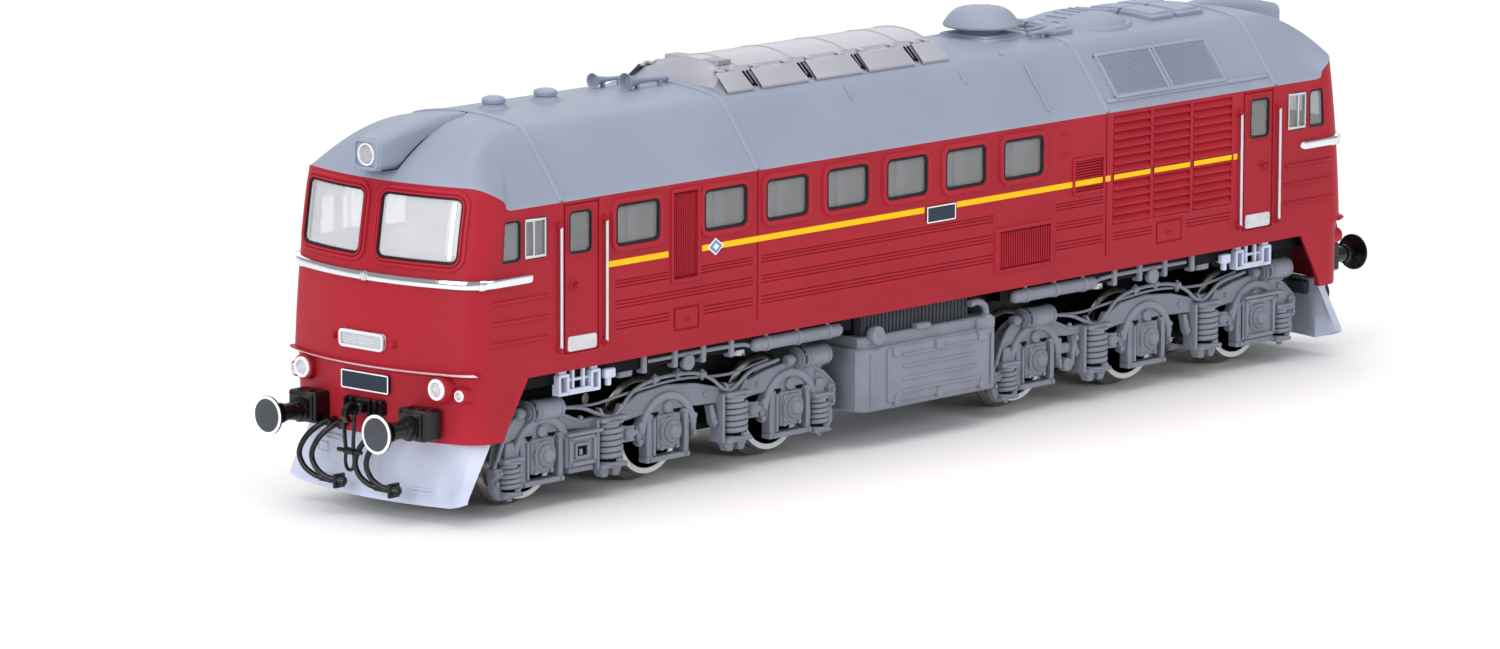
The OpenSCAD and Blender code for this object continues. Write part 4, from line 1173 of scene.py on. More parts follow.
        turn = spread(f.side_end - 4, f.side_end, 1.0) + spread(f.side_end, f.corner_end, 0.45)
        turn += spread(f.corner_end, f.u_end, 1.2)
        along = spread(-f.side_end + 4, f.side_end - 4, 2.4) + turn + [-u for u in turn]
        up = [f.skirt, 19.1, 19.6, 20.2, 20.9, 21.05, 22, 25, 28, 30.5, 33, 36, 38, 40, 41.05]
        up += spread(41.05, f.front_eaves, 0.5)
        openings = self.windows() + self.small_windows() + self.screens()
        return Skin(place, sorted(along), sorted(up), self.marks(), openings)

    def apron(self, mould: Mould) -> None:
        """The cab ends below the skirt, with their slanted side edges, and the edge all round.

        Args:
            mould: Where its faces go.
        """
        f = self.form
        start = len(mould.faces)

        def edge(z: float) -> float:
            """Where the slanted side edge is at a height."""
            return self.apron_start + (f.skirt - z) * 0.62

        shares = [i / 44 for i in range(45)]
        heights = spread(f.bottom, f.skirt, 1.0)
        for way in (-1, 1):
            rows = [[f.at(way * (edge(z) + (f.u_end - edge(z)) * s), z) for s in shares] for z in heights]
            mould.loft(rows, closed=False)
            inner = [f.at(way * (edge(z) + 0.7), z, -1.0) for z in heights]
            mould.loft([[r[0] for r in rows], inner], closed=False)
            us = [edge(f.bottom) + (f.u_end - edge(f.bottom)) * s for s in shares]
            low = [[f.at(way * u, f.bottom, 0.0) for u in us], [f.at(way * u, f.bottom, -1.0) for u in us]]
            low.append([f.at(way * u, f.bottom + 7, -1.0) for u in us])
            mould.loft(low, closed=False)
        us = spread(-self.apron_start, self.apron_start, 4.0)
        steps = [(f.skirt, 0.0), (f.skirt, -1.0), (f.skirt + 4, -1.0)]
        mould.loft([[f.at(u, z, d) for u in us] for z, d in steps], closed=False)
        mould.both_sides(start)

    def strip(self, mould: Mould, u0: float, u1: float, section: Sequence[Vec2], slot: int = 0,
              most: float = 0.8, fade: float = 0.0) -> None:
        """A bar that follows the body's plan.

        Args:
            mould: Where its faces go.
            u0: Start along the plan.
            u1: End along the plan.
            section: Heights and distances out of the body, all round.
            slot: Which finish it takes.
            most: Longest step along the plan.
            fade: Length over which its start is rounded.
        """
        us = spread(u0, u1, most)
        if fade:
            us = sorted(us + [u0 + (u1 - u0) / abs(u1 - u0) * fade * p for p in (0.1, 0.3, 0.6)],
                        reverse=u1 < u0)
        mid = sum(z for z, _ in section) / len(section)
        loops = []
        for u in us:
            t = min(abs(u - u0) / fade, 1.0) if fade else 1.0
            size = math.sqrt(max(1 - (1 - t) ** 2, 0.02))
            loops.append([
                self.form.at(u, mid + (z - mid) * size, d * (0.4 + 0.6 * size)) for z, d in section
            ])
        mould.loft(loops, slot, caps=True)

    def build_shell(self) -> None:
        """Makes the red body with its ledges."""
        mould = Mould()
        self.sheet().build(mould)
        self.apron(mould)
        start = len(mould.faces)
        ledge = [(19.75, -0.3), (19.9, 0.62), (20.0, 0.72), (20.35, 0.72), (20.45, 0.6), (20.5, -0.3)]
        edge = [(19.98, 0.70), (19.98, 0.78), (20.36, 0.78), (20.36, 0.70)]
        for way in (-1, 1):
            self.strip(mould, way * self.ledge_start, way * self.form.u_end, ledge, fade=0.7)
            self.strip(mould, way * (self.ledge_start + 0.5), way * self.form.u_end, edge, slot=1)
        mould.both_sides(start)
        mould.piece("body_shell_painted", [BODY_RED, WHITE], replaces=["body_shell"], slot="body_red")

    def build_grilles(self) -> None:
        """Makes the ribs of the three grilles and the slats of the louvre panel."""
        f = self.form
        mould = Mould()
        (y0, y1), (z0, z1) = self.tall_grille
        for i in range(13):
            y = y0 + 0.3 + (y1 - y0 - 0.6) * i / 12
            mould.block((f.half_w - 0.6, f.half_w - 0.1), (y - 0.1, y + 0.1), (z0 + 0.3, z1 - 0.3), 0.05)
        mould.frame(round_rect(y0 - 0.5, y1 + 0.5, z0 - 0.5, z1 + 0.5, 0.5), 0.5, Axis.X,
                    f.half_w - 0.2, f.half_w + 0.25)
        (y0, y1), (z0, z1) = self.square_grille
        for i in range(11):
            z = z0 + 0.25 + (z1 - z0 - 0.5) * i / 10
            mould.block((f.half_w - 0.5, f.half_w + 0.02), (y0 + 0.2, y1 - 0.2), (z - 0.11, z + 0.11), 0.05)
        mould.frame(round_rect(y0 - 0.4, y1 + 0.4, z0 - 0.4, z1 + 0.4, 0.4), 0.42, Axis.X,
                    f.half_w - 0.2, f.half_w + 0.25)
        (y0, y1), (z0, z1) = self.low_grille
        for i in range(22):
            y = y0 + 0.35 + (y1 - y0 - 0.7) * i / 21
            mould.block((f.half_w - 0.5, f.half_w + 0.08), (y - 0.13, y + 0.13), (z0 + 0.2, z1 - 0.2), 0.06)
        rows = self.louvre_rows
        high = (self.louvre_z[1] - self.louvre_z[0]) / rows
        for a, b in self.louvre_y:
            for i in range(rows):
                z = self.louvre_z[0] + high * i
                slat = [
                    (f.half_w - 0.5, z + 0.1), (f.half_w + 0.1, z + 0.12), (f.half_w + 0.1, z + 0.3),
                    (f.half_w - 0.42, z + high - 0.05), (f.half_w - 0.5, z + high - 0.1)
                ]
                mould.prism(slat, Axis.Y, a + 0.12, b - 0.12, 0.05)
        for y, z in ((-49.5, 22.7), (50.0, 22.7)):
            path = [(f.half_w - 0.1, y - 0.5, z), (f.half_w + 0.35, y - 0.45, z),
                    (f.half_w + 0.35, y + 0.45, z), (f.half_w - 0.1, y + 0.5, z)]
            mould.tube(path, 0.12, 8)
        for way in (-1, 1):
            y = way * 71.2
            mould.turned((f.half_w - 0.2, y, 29.9), (1, 0, 0),
                         [(0, 0.85), (0.3, 0.85), (0.36, 0.78), (0.36, 0.6), (0.16, 0.55)], 24)
            mould.tube([(f.half_w + 0.0, y, 29.9), (f.half_w + 0.5, y, 29.9),
                        (f.half_w + 0.55, y - way, 29.85)],
                       0.17, 8)
        mould.both_sides()
        mould.piece("body_grilles", [BODY_RED], slot="body_red")

    def build_stripes(self) -> None:
        """Makes the yellow line, the plain badge and the plates with a white border."""
        f = self.form
        mould = Mould()
        z0, z1 = self.stripe_z
        for a, b in (*self.stripe_y, (64.2, 65.05)):
            mould.block((f.half_w - 0.05, f.half_w + 0.035), (a, b), (z0, z1), 0.01)
        for a, b in self.louvre_y:
            mould.block((f.half_w + 0.05, f.half_w + 0.115), (a + 0.15, b - 0.15), (z0 + 0.1, z1), 0.01)
        mould.both_sides()
        mould.piece("side_stripes", [STRIPE_YELLOW])
        badge = Mould()
        for size, face, slot in ((1.55, 0.1, 0), (1.25, 0.14, 1), (0.6, 0.17, 0)):
            shape = [(-44 - size, 31.8), (-44, 31.8 - size * 0.75), (-44 + size, 31.8),
                     (-44, 31.8 + size * 0.75)]
            badge.prism(shape, Axis.X, f.half_w - 0.05, f.half_w + face, 0.02, slot)
        badge.both_sides()
        badge.piece("side_badges", [WHITE, BADGE_BLUE])
        plates = Mould()
        y0, y1 = self.plate_y
        plates.prism(round_rect(y0, y1, *self.plate_z, 0.2), Axis.X, f.half_w - 0.05, f.half_w + 0.2, 0.04)
        plates.frame(round_rect(y0, y1, *self.plate_z, 0.2), 0.16, Axis.X, f.half_w, f.half_w + 0.25, 0.03, 1)
        plates.both_sides()
        shape = round_rect(-4.3, 4.3, 16.65, 19.1, 0.25)
        for way in (-1, 1):
            face = way * (f.nose - f.lean(17.9))
            plates.prism(shape, Axis.Y, face - way * 1.0, face + way * 0.28, way * 0.03)
            plates.frame(shape, 0.17, Axis.Y, face, face + way * 0.33, 0.03, 1)
        plates.piece("blank_plates", [PLATE_DARK, WHITE], replaces=["number_plates"], slot="plate_dark")

    def build_glazing(self) -> None:
        """Makes the seals, the panes, the metal window bars and the windscreens' strips."""
        f = self.form
        seals, glass, screens, bars = Mould(), Mould(), Mould(), Mould()
        seal = [(0.05, -0.2), (0.04, 0.14), (-0.02, 0.2), (-0.26, 0.2), (-0.32, 0.1), (-0.32, -0.4)]
        for o in self.windows():
            band(seals, f.at, o, seal)
            pane(glass, f.at, o, -0.28, (-0.55, -0.04), shrink=0.05)
        slim = [(0.04, -0.2), (0.03, 0.06), (-0.24, 0.08), (-0.3, -0.4)]
        for o in self.small_windows():
            band(seals, f.at, o, slim)
            pane(glass, f.at, o, -0.25, (-0.55, -0.1), shrink=0.05)
        for o in self.screens():
            band(seals, f.at, o, [(0.04, -0.3), (0.03, 0.2), (-0.03, 0.26), (-0.24, 0.26), (-0.3, 0.16),
                                  (-0.3, -0.4)])
            pane(screens, f.at, o, -0.26, (-0.6, 0.06), shrink=0.05)
            way = 1 if o.u[0] > 0 else -1
            post = way * f.front_u(12.75)
            levels = spread(o.z[0] + 0.55, o.z[1] - 0.55, 1.5)
            for low, high in zip(levels, levels[1:]):
                corners = [(post - 0.28, low), (post + 0.28, low), (post + 0.28, high), (post - 0.28, high)]
                bars.loft([[f.at(u, z, d) for u, z in corners] for d in (-0.02, 0.12)], caps=True)
        for way in (-1, 1):
            (a, b), _ = self.cab_panes
            for z in (34.55, 39.35):
                bars.block((f.half_w - 0.3, f.half_w + 0.12), (way * (a + 0.2), way * (b - 0.2)),
                           (z - 0.2, z + 0.2), 0.06)
            for y in (a + 0.3, (a + b) / 2 + 0.3, b - 0.25):
                bars.block((f.half_w - 0.3, f.half_w + 0.1), (way * (y - 0.13), way * (y + 0.13)),
                           (34.7, 39.2), 0.05)
        for mould in (seals, glass, screens, bars):
            mould.both_sides()
        seals.piece("window_seals", [GASKET], slot="black_plastic")
        glass.piece("side_panes", [WINDOW_CLEAR], replaces=["side_glazing"], slot="glazing", sharp=40)
        screens.piece("windscreen_panes", [SCREEN_CLEAR], replaces=["windscreens"], slot="glazing", sharp=40)
        bars.piece("window_bars", [SILVER], replaces=["window_frames"], slot="silver_trim")

    def build_trim(self) -> None:
        """Makes the bright bands round the cabs, the kick plates, the nose plates and the handrails."""
        f = self.form
        trim = Mould()
        low, high = self.trim_z
        section = [
            (low, -0.3), (low + 0.02, 0.3), (low + 0.18, 0.5), (high - 0.35, 0.62), (high - 0.12, 0.56),
            (high, 0.36), (high, -0.3)
        ]
        clip = [(z + (0.1 if z > 31.8 else -0.1), d + 0.1) for z, d in section]
        for way in (-1, 1):
            self.strip(trim, way * self.trim_start, way * f.u_end, section, fade=0.9)
            self.strip(trim, way * (f.side_end + 1.6), way * (f.side_end + 2.3), clip)
            self.strip(trim, way * (f.u_end - 0.35), way * f.u_end, clip)
        trim.both_sides()
        trim.piece("chrome_bands", [CHROME], replaces=["trim_bands"], slot="chrome_trim")
        kick = Mould()
        for way in (-1, 1):
            shape = [(way * y, z) for y, z in round_rect(66.9, 72.4, 21.2, 23.2, 0.45)]
            kick.prism(shape, Axis.X, f.half_w - 0.35, f.half_w + 0.16, 0.05)
            for y in (67.5, 71.8):
                kick.turned((f.half_w + 0.1, way * y, 22.2), (1, 0, 0),
                            [(0, 0.22), (0.12, 0.2), (0.17, 0.1)], 12)
        kick.both_sides()
        kick.piece("door_kick_plates", [SILVER], replaces=["kick_plates"], slot="silver_trim")
        nose = Mould()
        face = f.nose - f.lean(23.4)
        shape = round_rect(-4.0, 4.0, 22.3, 24.55, 0.6)
        for way in (-1, 1):
            nose.prism(shape, Axis.Y, way * (face - 0.8), way * (face + 0.12), 0.05)
            nose.frame(shape, 0.3, Axis.Y, way * face, way * (face + 0.42), way * 0.05)
            for z in (22.75 + 0.225 * i for i in range(7)):
                nose.block((-3.6, 3.6), (way * face, way * (face + 0.3)), (z - 0.06, z + 0.06), 0.04)
        nose.piece("nose_plates", [NOSE_SILVER], replaces=["nose_grilles"], slot="silver_trim")
        rails = Mould()
        for way in (-1, 1):
            for y in self.rail_y:
                z0, z1 = self.rail_z
                out = f.half_w + 0.5
                rails.tube([(f.half_w - 0.2, way * y, z0 - 0.3), (out - 0.12, way * y, z0 - 0.25),
                            (out, way * y, z0 + 0.1),
                            *[(out, way * y, z) for z in spread(z0 + 1, z1 - 1, 4)],
                            (out, way * y, z1 - 0.1), (out - 0.12, way * y, z1 + 0.25),
                            (f.half_w - 0.2, way * y, z1 + 0.3)], 0.24, 12)
                for z in (z0 - 0.1, z1 + 0.1):
                    rails.turned((f.half_w - 0.1, way * y, z), (1, 0, 0),
                                 [(0, 0.55), (0.35, 0.5), (0.6, 0.38), (0.8, 0.3)], 16, 1)
        rails.both_sides()
        rails.piece("door_handrails", [SILVER, RAIL_RED], replaces=["handrails"], slot="silver_trim")

    def build_lamps(self) -> None:
        """Makes the marker lamps, tail lamps, nose knobs and the headlamps in their roof fairings."""
        f = self.form
        lamps, fairing = Mould(), Mould()
        for x, z, r, shade in ((12.3, 18.2, 1.4, 1.75), (15.0, 17.5, 0.75, 1.15)):
            u = f.front_u(x) if x < 14.2 else f.corner_end - 0.55
            y = f.at(u, z)[1] + (0.9 if r > 1 else 0.35)
            lamps.turned((x, y - 2.8, z), (0, 1, 0), [
                (0, shade), (2.5, shade), (3.1, shade - 0.08), (3.15, r - 0.02), (2.9, r - 0.05)
            ], 28, 0)
            lamps.turned((x, y + 0.15, z), (0, 1, 0), [
                (0, r * 0.98), (0.42, r), (0.5, r - 0.06), (0.5, r * 0.72), (0.1, r * 0.66)
            ], 28, 1)
            lamps.turned((x, y + 0.2, z), (0, 1, 0), [
                (0, r * 0.7), (0.15, r * 0.7), (0.34, r * 0.5), (0.42, r * 0.2), (0.43, 0.01)
            ], 28, 2)
        lamps.both_sides()
        for x in (5.4, -5.4):
            lamps.turned((x, f.nose - f.lean(23.4) - 0.3, 23.4), (0, 1, 0),
                         [(0, 0.42), (0.45, 0.42), (0.7, 0.3), (0.78, 0.1)], 14)
        lamps.both_ends()
        lamps.piece("marker_lamp_units", [BODY_RED, WHITE, LENS_CLEAR], replaces=["marker_lamps"],
                    slot="lamp_white")
        y_face = f.nose - 1.1
        loops = []
        for y, half, low, high, r in (
            (y_face, 2.2, 45.75, 49.55, 1.0), (y_face - 0.12, 2.4, 45.5, 49.8, 1.2),
            (y_face - 1.6, 2.42, 45.4, 50.1, 1.2),
            (y_face - 4.5, 2.4, 45.4, 50.75, 1.1), (y_face - 8.0, 2.25, 46.0, 51.3, 1.4),
            (y_face - 11.0, 2.0, 47.5, 51.62, 1.6),
            (y_face - 14.0, 1.6, 49.3, 51.6, 1.1), (y_face - 17.0, 1.0, 50.4, 51.35, 0.45),
            (y_face - 18.2, 0.35, 50.8, 51.2, 0.15),
        ):
            loops.append([(x, y, z) for x, z in round_rect(-half, half, low, high, r, 5)])
        fairing.loft(loops, caps=True)
        rim = round_rect(-2.25, 2.25, 45.65, 49.65, 1.05, 6)
        steps = ((-0.1, -0.6), (0.0, 0.3), (0.12, 0.42), (0.3, 0.42), (0.42, 0.3), (0.44, -0.3))
        fairing.loft([[(x, y_face + out, z) for x, z in inset(rim, d)] for d, out in steps], 0)
        bowl = arc(0, 47.65, 1.42, 45, 405, 28)[:-1]
        hole = inset(rim, 0.42)
        fairing.loft([[(x, y_face + 0.1, z) for x, z in hole], [(x, y_face + 0.16, z) for x, z in bowl]], 0)
        fairing.turned((0, y_face - 0.1, 47.65), (0, 1, 0),
                       [(0, 1.5), (0.3, 1.5), (0.42, 1.42), (0.4, 1.3), (0.1, 1.26)], 32, 2)
        for way in (-1, 1):
            edge = []
            for d in spread(0.4, 18.6, 0.7):
                half = 2.42 if d < 4.5 else 2.42 - 2.3 * ((d - 4.5) / 14.1) ** 1.5
                x, y = way * (half + 0.06), y_face - d
                edge.append((x, y, max(self.form.roof(x, y) + 0.02, 45.7)))
            fairing.tube(edge, 0.13, 6, 3)
        fairing.both_ends()
        fairing.piece("headlamp_housings", [ROOF_GREY, NOSE_SILVER, WHITE, GASKET],
                      replaces=["headlamp_fairings"], slot="roof_grey")
        lens = Mould()
        lens.turned((0, y_face - 0.05, 47.65), (0, 1, 0), [
            (0, 1.3), (0.1, 1.3), (0.32, 1.0), (0.42, 0.55), (0.46, 0.05)
        ], 32)
        lens.both_ends()
        lens.piece("headlamp_glasses", [LENS_CLEAR], replaces=["headlamp_lenses"], slot="lamp_white")

    def build(self) -> None:
        """Builds every piece of the body below the roof."""
        self.build_shell()
        self.build_grilles()
        self.build_stripes()
        self.build_glazing()
        self.build_trim()
        self.build_lamps()


# ---- roof
@dataclass
class Roof:
    """The roof with its ribs, intake hood, ventilator, caps, horns, fan and hatches."""

    form: BodyForm
    ribs: tuple[float, ...] = (-73.5, -35.7, 36.5, 73.5)
    rib_w: float = 0.9
    hood_y: Vec2 = (-33.9, 11.9)
    flaps: tuple[Vec2, ...] = ((-33.5, -28.2), (-26.6, -17.2), (-15.7, -6.25), (-5.0, 4.45), (6.0, 11.5))
    vent_y: float = 29.0
    fan_y: float = 49.8
    fan_r: float = 7.4
    louvre_y: Vec2 = (39.4, 63.6)
    caps_y: Vec2 = (-68.6, -58.8)

    def row(self, u: float, steps: Sequence[float], lift: float = 0.0) -> list[Vec3]:
        """Points from the eaves at distance u up to the ridge.

        Args:
            u: Distance along the plan where the row begins.
            steps: Shares of the way, from 0 at the eaves to 1 on the ridge.
            lift: Height above the roof.

        Returns:
            The points.
        """
        f = self.form
        px, py, _ = f.at(u, f.top(u))
        first = f.top(u) - f.roof(px, py)
        row = []
        for t in steps:
            x, y = px * (1 - t), py + (f.ridge_y(u) - py) * t
            row.append((x, y, f.roof(x, y) + first * (1 - min(t / 0.3, 1)) ** 2 + lift))
        return row

    def build_skin(self) -> None:
        """Makes the roof itself and the four ribs across it."""
        f = self.form
        mould = Mould()
        cab = spread(f.side_end - 4, f.side_end, 0.6) + spread(f.side_end, f.corner_end, 0.4)
        cab += spread(f.corner_end, f.u_end, 0.7) + spread(60, f.side_end - 4, 1.0)
        us = thin(spread(-60, 60, 2.0) + cab + [-u for u in cab])
        steps = [0, 0.012, 0.04, 0.08] + [0.12 + 0.88 * i / 26 for i in range(27)]
        rows = [self.row(u, steps) for u in us]
        lower = [f.at(u, f.top(u) - 0.9, -0.75) for u in us]
        mould.loft([[row[i] for row in rows] for i in range(len(steps))], closed=False)
        mould.loft([[row[0] for row in rows], lower], closed=False)
        for y in self.ribs:
            loops = []
            for offset, lift in ((-0.5, -0.3), (-0.42, 0.14), (-0.3, 0.24), (0.3, 0.24), (0.42, 0.14),
                                 (0.5, -0.3)):
                row = []
                for i in range(40):
                    x = (f.half_w - 0.05) * (1 - i / 39)
                    n = 0.6 if x > 9 else 0.0
                    row.append((x + n * lift, y + offset * self.rib_w, f.roof(x, y) + lift * (1 - n * 0.4)))
                loops.append(row)
            mould.loft(loops, closed=False)
        mould.both_sides()
        mould.piece("roof_painted", [ROOF_GREY], replaces=["roof_shell"], slot="roof_grey", sharp=38)

    def on_side(self, x: float, y: float, lift: float) -> Vec3:
        """A place on the roof, lifted straight out of its sloping side.

        Args:
            x: X of the place.
            y: Y of the place.
            lift: Distance out of the roof.

        Returns:
            The point.
        """
        f = self.form
        slope = (f.roof(x + 0.1, y) - f.roof(x - 0.1, y)) / 0.2
        size = math.hypot(slope, 1)
        return (x - slope / size * lift, y, f.roof(x, y) + lift / size)

    def plate(self, mould: Mould, xs: Vec2, ys: Vec2, lift: float, slot: int = 0, edge: float = 0.12) -> None:
        """A thin plate that lies on the curved roof.

        Args:
            mould: Where its faces go.
            xs: Its lowest and highest X.
            ys: Its lowest and highest Y.
            lift: How far its face stands out of the roof.
            slot: Which finish it takes.
            edge: Width of its broken edges.
        """
        x_lines = [xs[0], *spread(xs[0] + edge, xs[1] - edge, 0.5), xs[1]]
        y_lines = [ys[0], *spread(ys[0] + edge, ys[1] - edge, 2.5), ys[1]]

        def high(x: float, y: float) -> float:
            """How far a place of the face stands out."""
            return lift - edge if x in xs or y in ys else lift

        faces = [[self.on_side(x, y, high(x, y)) for y in y_lines] for x in x_lines]
        mould.loft(faces, slot, closed=False)
        rim = [(0, j) for j in range(len(y_lines))] + [(i, len(y_lines) - 1) for i in range(1, len(x_lines))]
        rim += [(len(x_lines) - 1, j) for j in range(len(y_lines) - 2, -1, -1)]
        rim += [(i, 0) for i in range(len(x_lines) - 2, 0, -1)]
        low = [self.on_side(x_lines[i], y_lines[j], -0.35) for i, j in rim]
        mould.loft([[faces[i][j] for i, j in rim], low], slot)

    def build_louvres(self) -> None:
        """Makes the two fields of fine louvres on the roof's side, and the ridges and ticks on it."""
        mould = Mould()
        a, b = self.louvre_y
        self.plate(mould, (11.55, 15.75), (a, b), 0.3)
        middle = (a + b) / 2
        for y0, y1 in ((a + 0.8, middle - 0.75), (middle + 0.75, b - 0.8)):
            for i in range(18):
                x = 11.95 + 3.4 * i / 17
                mould.loft([
                    [self.on_side(x + dx, y, lift) for dx, lift in ((-0.07, 0.25), (-0.02, 0.46),
                        (0.06, 0.25))]
                    for y in (y0, y1)
                ], caps=True)
        for y in (a + 0.25, middle - 0.45, middle + 0.45, b - 0.25):
            self.plate(mould, (11.5, 15.8), (y - 0.2, y + 0.2), 0.5, edge=0.08)
        for x in (11.6, 15.7):
            self.plate(mould, (x - 0.15, x + 0.15), (a, b), 0.48, edge=0.06)
        self.plate(mould, (15.74, 16.06), (37.4, 72.8), 0.24, edge=0.07)
        for x0, x1, y in ((10.8, 12.0, -11.6), (11.1, 12.3, 11.6), (11.4, 15.9, 24.9), (9.4, 9.9, 21.9)):
            self.plate(mould, (x0, x1), (y - 0.15, y + 0.15), 0.32, edge=0.07)
        for y0, y1 in ((38.2, 41.4), (58.6, 63.6), (64.4, 70.0)):
            self.plate(mould, (0.25, 6.2), (y0, y1), 0.7, edge=0.2)
            self.plate(mould, (0.25, 5.5), (y0 + 0.5, y1 - 0.5), 0.95, edge=0.15)
        mould.both_sides()
        mould.piece("roof_louvres_and_hatches", [ROOF_GREY], slot="roof_grey")

    def build_hood(self) -> None:
        """Makes the long silver air intake hood with its ten flaps."""
        f = self.form
        hood = Mould()
        y0, y1 = self.hood_y
        low = f.ridge - 1.1
        outline = [
            (9.15, low - 0.4), (9.15, low + 0.15), (8.95, low + 0.3), (7.15, low + 2.15), (6.9, low + 2.3),
            (5.75, low + 2.75),
            (5.5, low + 3.0), (3.4, low + 3.68), (1.4, low + 3.98), (0.0, low + 4.05)
        ]
        full = outline + [(-x, z) for x, z in reversed(outline[:-1])]
        front = [(x, min(z, low + 0.9)) for x, z in full]
        middle = [(x * 0.985, min(z, low + 2.5)) for x, z in full]
        loops = []
        for y, shape in ((y0, front), (y0 + 0.15, front), (y0 + 1.6, middle), (y0 + 2.7, full),
                         (y0 + 2.9, full),
                         (y1 - 1.2, full), (y1 - 1.0, full), (y1 - 0.1, middle), (y1, middle)):
            loops.append([(x, y, z) for x, z in shape])
        hood.loft(loops, caps=True)
        for a, b in self.flaps:
            foot, head = (9.3, low + 0.2), (6.75, low + 2.55)
            nx, nz = 0.64, 0.77
            rows = []
            for share, out in ((0, -0.2), (0.01, 0.2), (0.06, 0.32), (0.5, 0.32), (0.94, 0.32), (0.99, 0.2),
                               (1, -0.2)):
                x = foot[0] + (head[0] - foot[0]) * share + nx * out
                z = foot[1] + (head[1] - foot[1]) * share + nz * out
                rows.append([(x, a + 0.27 * share, z), (x, a + 0.12 + 0.27 * share, z + 0.03),
                             (x, b - 0.12 - 0.27 * share, z + 0.03), (x, b - 0.27 * share, z)])
            hood.loft(rows, closed=False)
            for y in (a + 1.6, b - 1.6):
                hood.rod((6.75, y - 0.55, low + 2.75), (6.75, y + 0.55, low + 2.75), 0.26, 10, 0.05)
                hood.block((5.6, 6.7), (y - 0.35, y + 0.35), (low + 2.72, low + 3.02), 0.06)
        for (_, b), (a, _) in zip(self.flaps, self.flaps[1:]):
            y = (a + b) / 2
            hood.rod((8.9, y - 0.35, low + 0.6), (6.9, y - 0.35, low + 2.5), 0.14, 8, 0.03, 1)
            hood.rod((8.9, y + 0.35, low + 0.6), (6.9, y + 0.35, low + 2.5), 0.14, 8, 0.03, 1)
            hood.block((7.0, 8.6), (y - 0.5, y + 0.5), (low + 0.3, low + 1.0), 0.08, 1)
        for y in (-31.0, -27.4, -16.45, -5.6, 5.2, 10.8):
            rows = []
            for dy, lift in ((-0.16, -0.05), (-0.12, 0.1), (0.12, 0.1), (0.16, -0.05)):
                rows.append([(x, y + dy, z + lift) for x, z in outline[6:]])
            hood.loft(rows, closed=False)
        for y in spread(-30.4, -28.0, 0.3):
            hood.block((0.4, 4.9), (y - 0.07, y + 0.07), (low + 3.3, low + 3.95), 0.03)
        hood.both_sides()
        hood.piece("air_intake_hood", [HOOD_SILVER, CHASSIS], replaces=["intake_hood"], slot="hood_silver",
                   sharp=26)

    def build_tops(self) -> None:
        """Makes the ventilator, the two caps, the horns and the fan's cover."""
        f = self.form
        vent = Mould()
        z = f.ridge
        vent.block((-4.9, 4.9), (self.vent_y - 4.6, self.vent_y + 4.6), (z - 1.6, z + 0.05), 0.3)
        vent.block((-4.3, 4.3), (self.vent_y - 4.0, self.vent_y + 4.0), (z - 0.2, z + 0.4), 0.2)
        vent.turned((0, self.vent_y, z), (0, 0, 1), [
            (0, 3.5), (0.45, 3.4), (0.5, 2.95), (1.15, 2.9), (1.18, 4.9), (1.3, 5.3), (1.55, 5.38),
            (1.95, 5.2),
            (2.6, 4.75), (3.2, 4.2), (3.6, 3.65), (3.82, 3.15), (3.88, 2.9), (3.9, 0.05)
        ], 48)
        for i in range(8):
            a = math.radians(45 * i + 20)
            vent.turned((2.5 * math.cos(a), self.vent_y + 2.5 * math.sin(a), z + 3.8), (0, 0, 1),
                        [(0, 0.2), (0.1, 0.2), (0.18, 0.1), (0.2, 0.02)], 10)
        vent.piece("roof_ventilator_cowl", [ROOF_GREY], replaces=["roof_ventilator"], slot="roof_grey")
        caps = Mould()
        for y in self.caps_y:
            caps.turned((0, y, z - 0.3), (0, 0, 1), [
                (0, 2.1), (0.35, 2.05), (0.55, 1.7), (0.8, 1.5), (0.95, 1.35), (1.0, 1.5), (1.15, 1.58),
                (1.5, 1.58),
                (1.7, 1.45), (1.85, 1.1), (1.87, 0.05)
            ], 32)
            for i in range(6):
                a = math.radians(60 * i)
                caps.turned((1.62 * math.cos(a), y + 1.62 * math.sin(a), z + 0.2), (0, 0, 1),
                            [(0, 0.16), (0.12, 0.16), (0.2, 0.08)], 8)
        caps.piece("roof_caps", [ROOF_GREY], replaces=["roof_vent_caps"], slot="roof_grey")
        horns = Mould()
        bell = [(0, 0.32), (2.6, 0.34), (4.4, 0.42), (6.0, 0.6), (7.2, 0.95), (7.7, 1.25), (7.8, 1.25),
                (7.75, 1.1), (7.0, 0.7)]
        horns.turned((1.4, -37.2, z + 0.95), (0, -1, 0.02), bell, 24)
        horns.turned((-3.2, -40.2, z + 0.85), (0, -1, 0.02), [(a * 0.8, r * 0.85) for a, r in bell], 24)
        for x, y in ((1.4, -38.2), (1.4, -42.6), (-3.2, -41.2), (-3.2, -44.4)):
            horns.block((x - 0.3, x + 0.3), (y - 0.25, y + 0.25), (z - 0.4, z + 1.0), 0.08)
        horns.tube(spline([(1.4, -36.9, z + 0.95), (1.3, -36.4, z + 0.7), (0.2, -36.2, z + 0.35),
                           (-2.4, -38.6, z + 0.4), (-3.2, -39.9, z + 0.8)], 5), 0.16, 8)
        for x, y in ((6.2, 32.0), (4.6, 33.2)):
            base = f.roof(x, y) + 0.85
            horns.turned((x, y, base), (0, 1, 0.0), [(a * 0.62, r * 0.85) for a, r in bell], 20)
            for d in (0.4, 2.6):
                horns.block((x - 0.22, x + 0.22), (y + d, y + d + 0.5), (base - 1.1, base), 0.06)
        horns.piece("roof_horn_set", [ROOF_GREY], replaces=["roof_horns"], slot="roof_grey")
        fan = Mould()
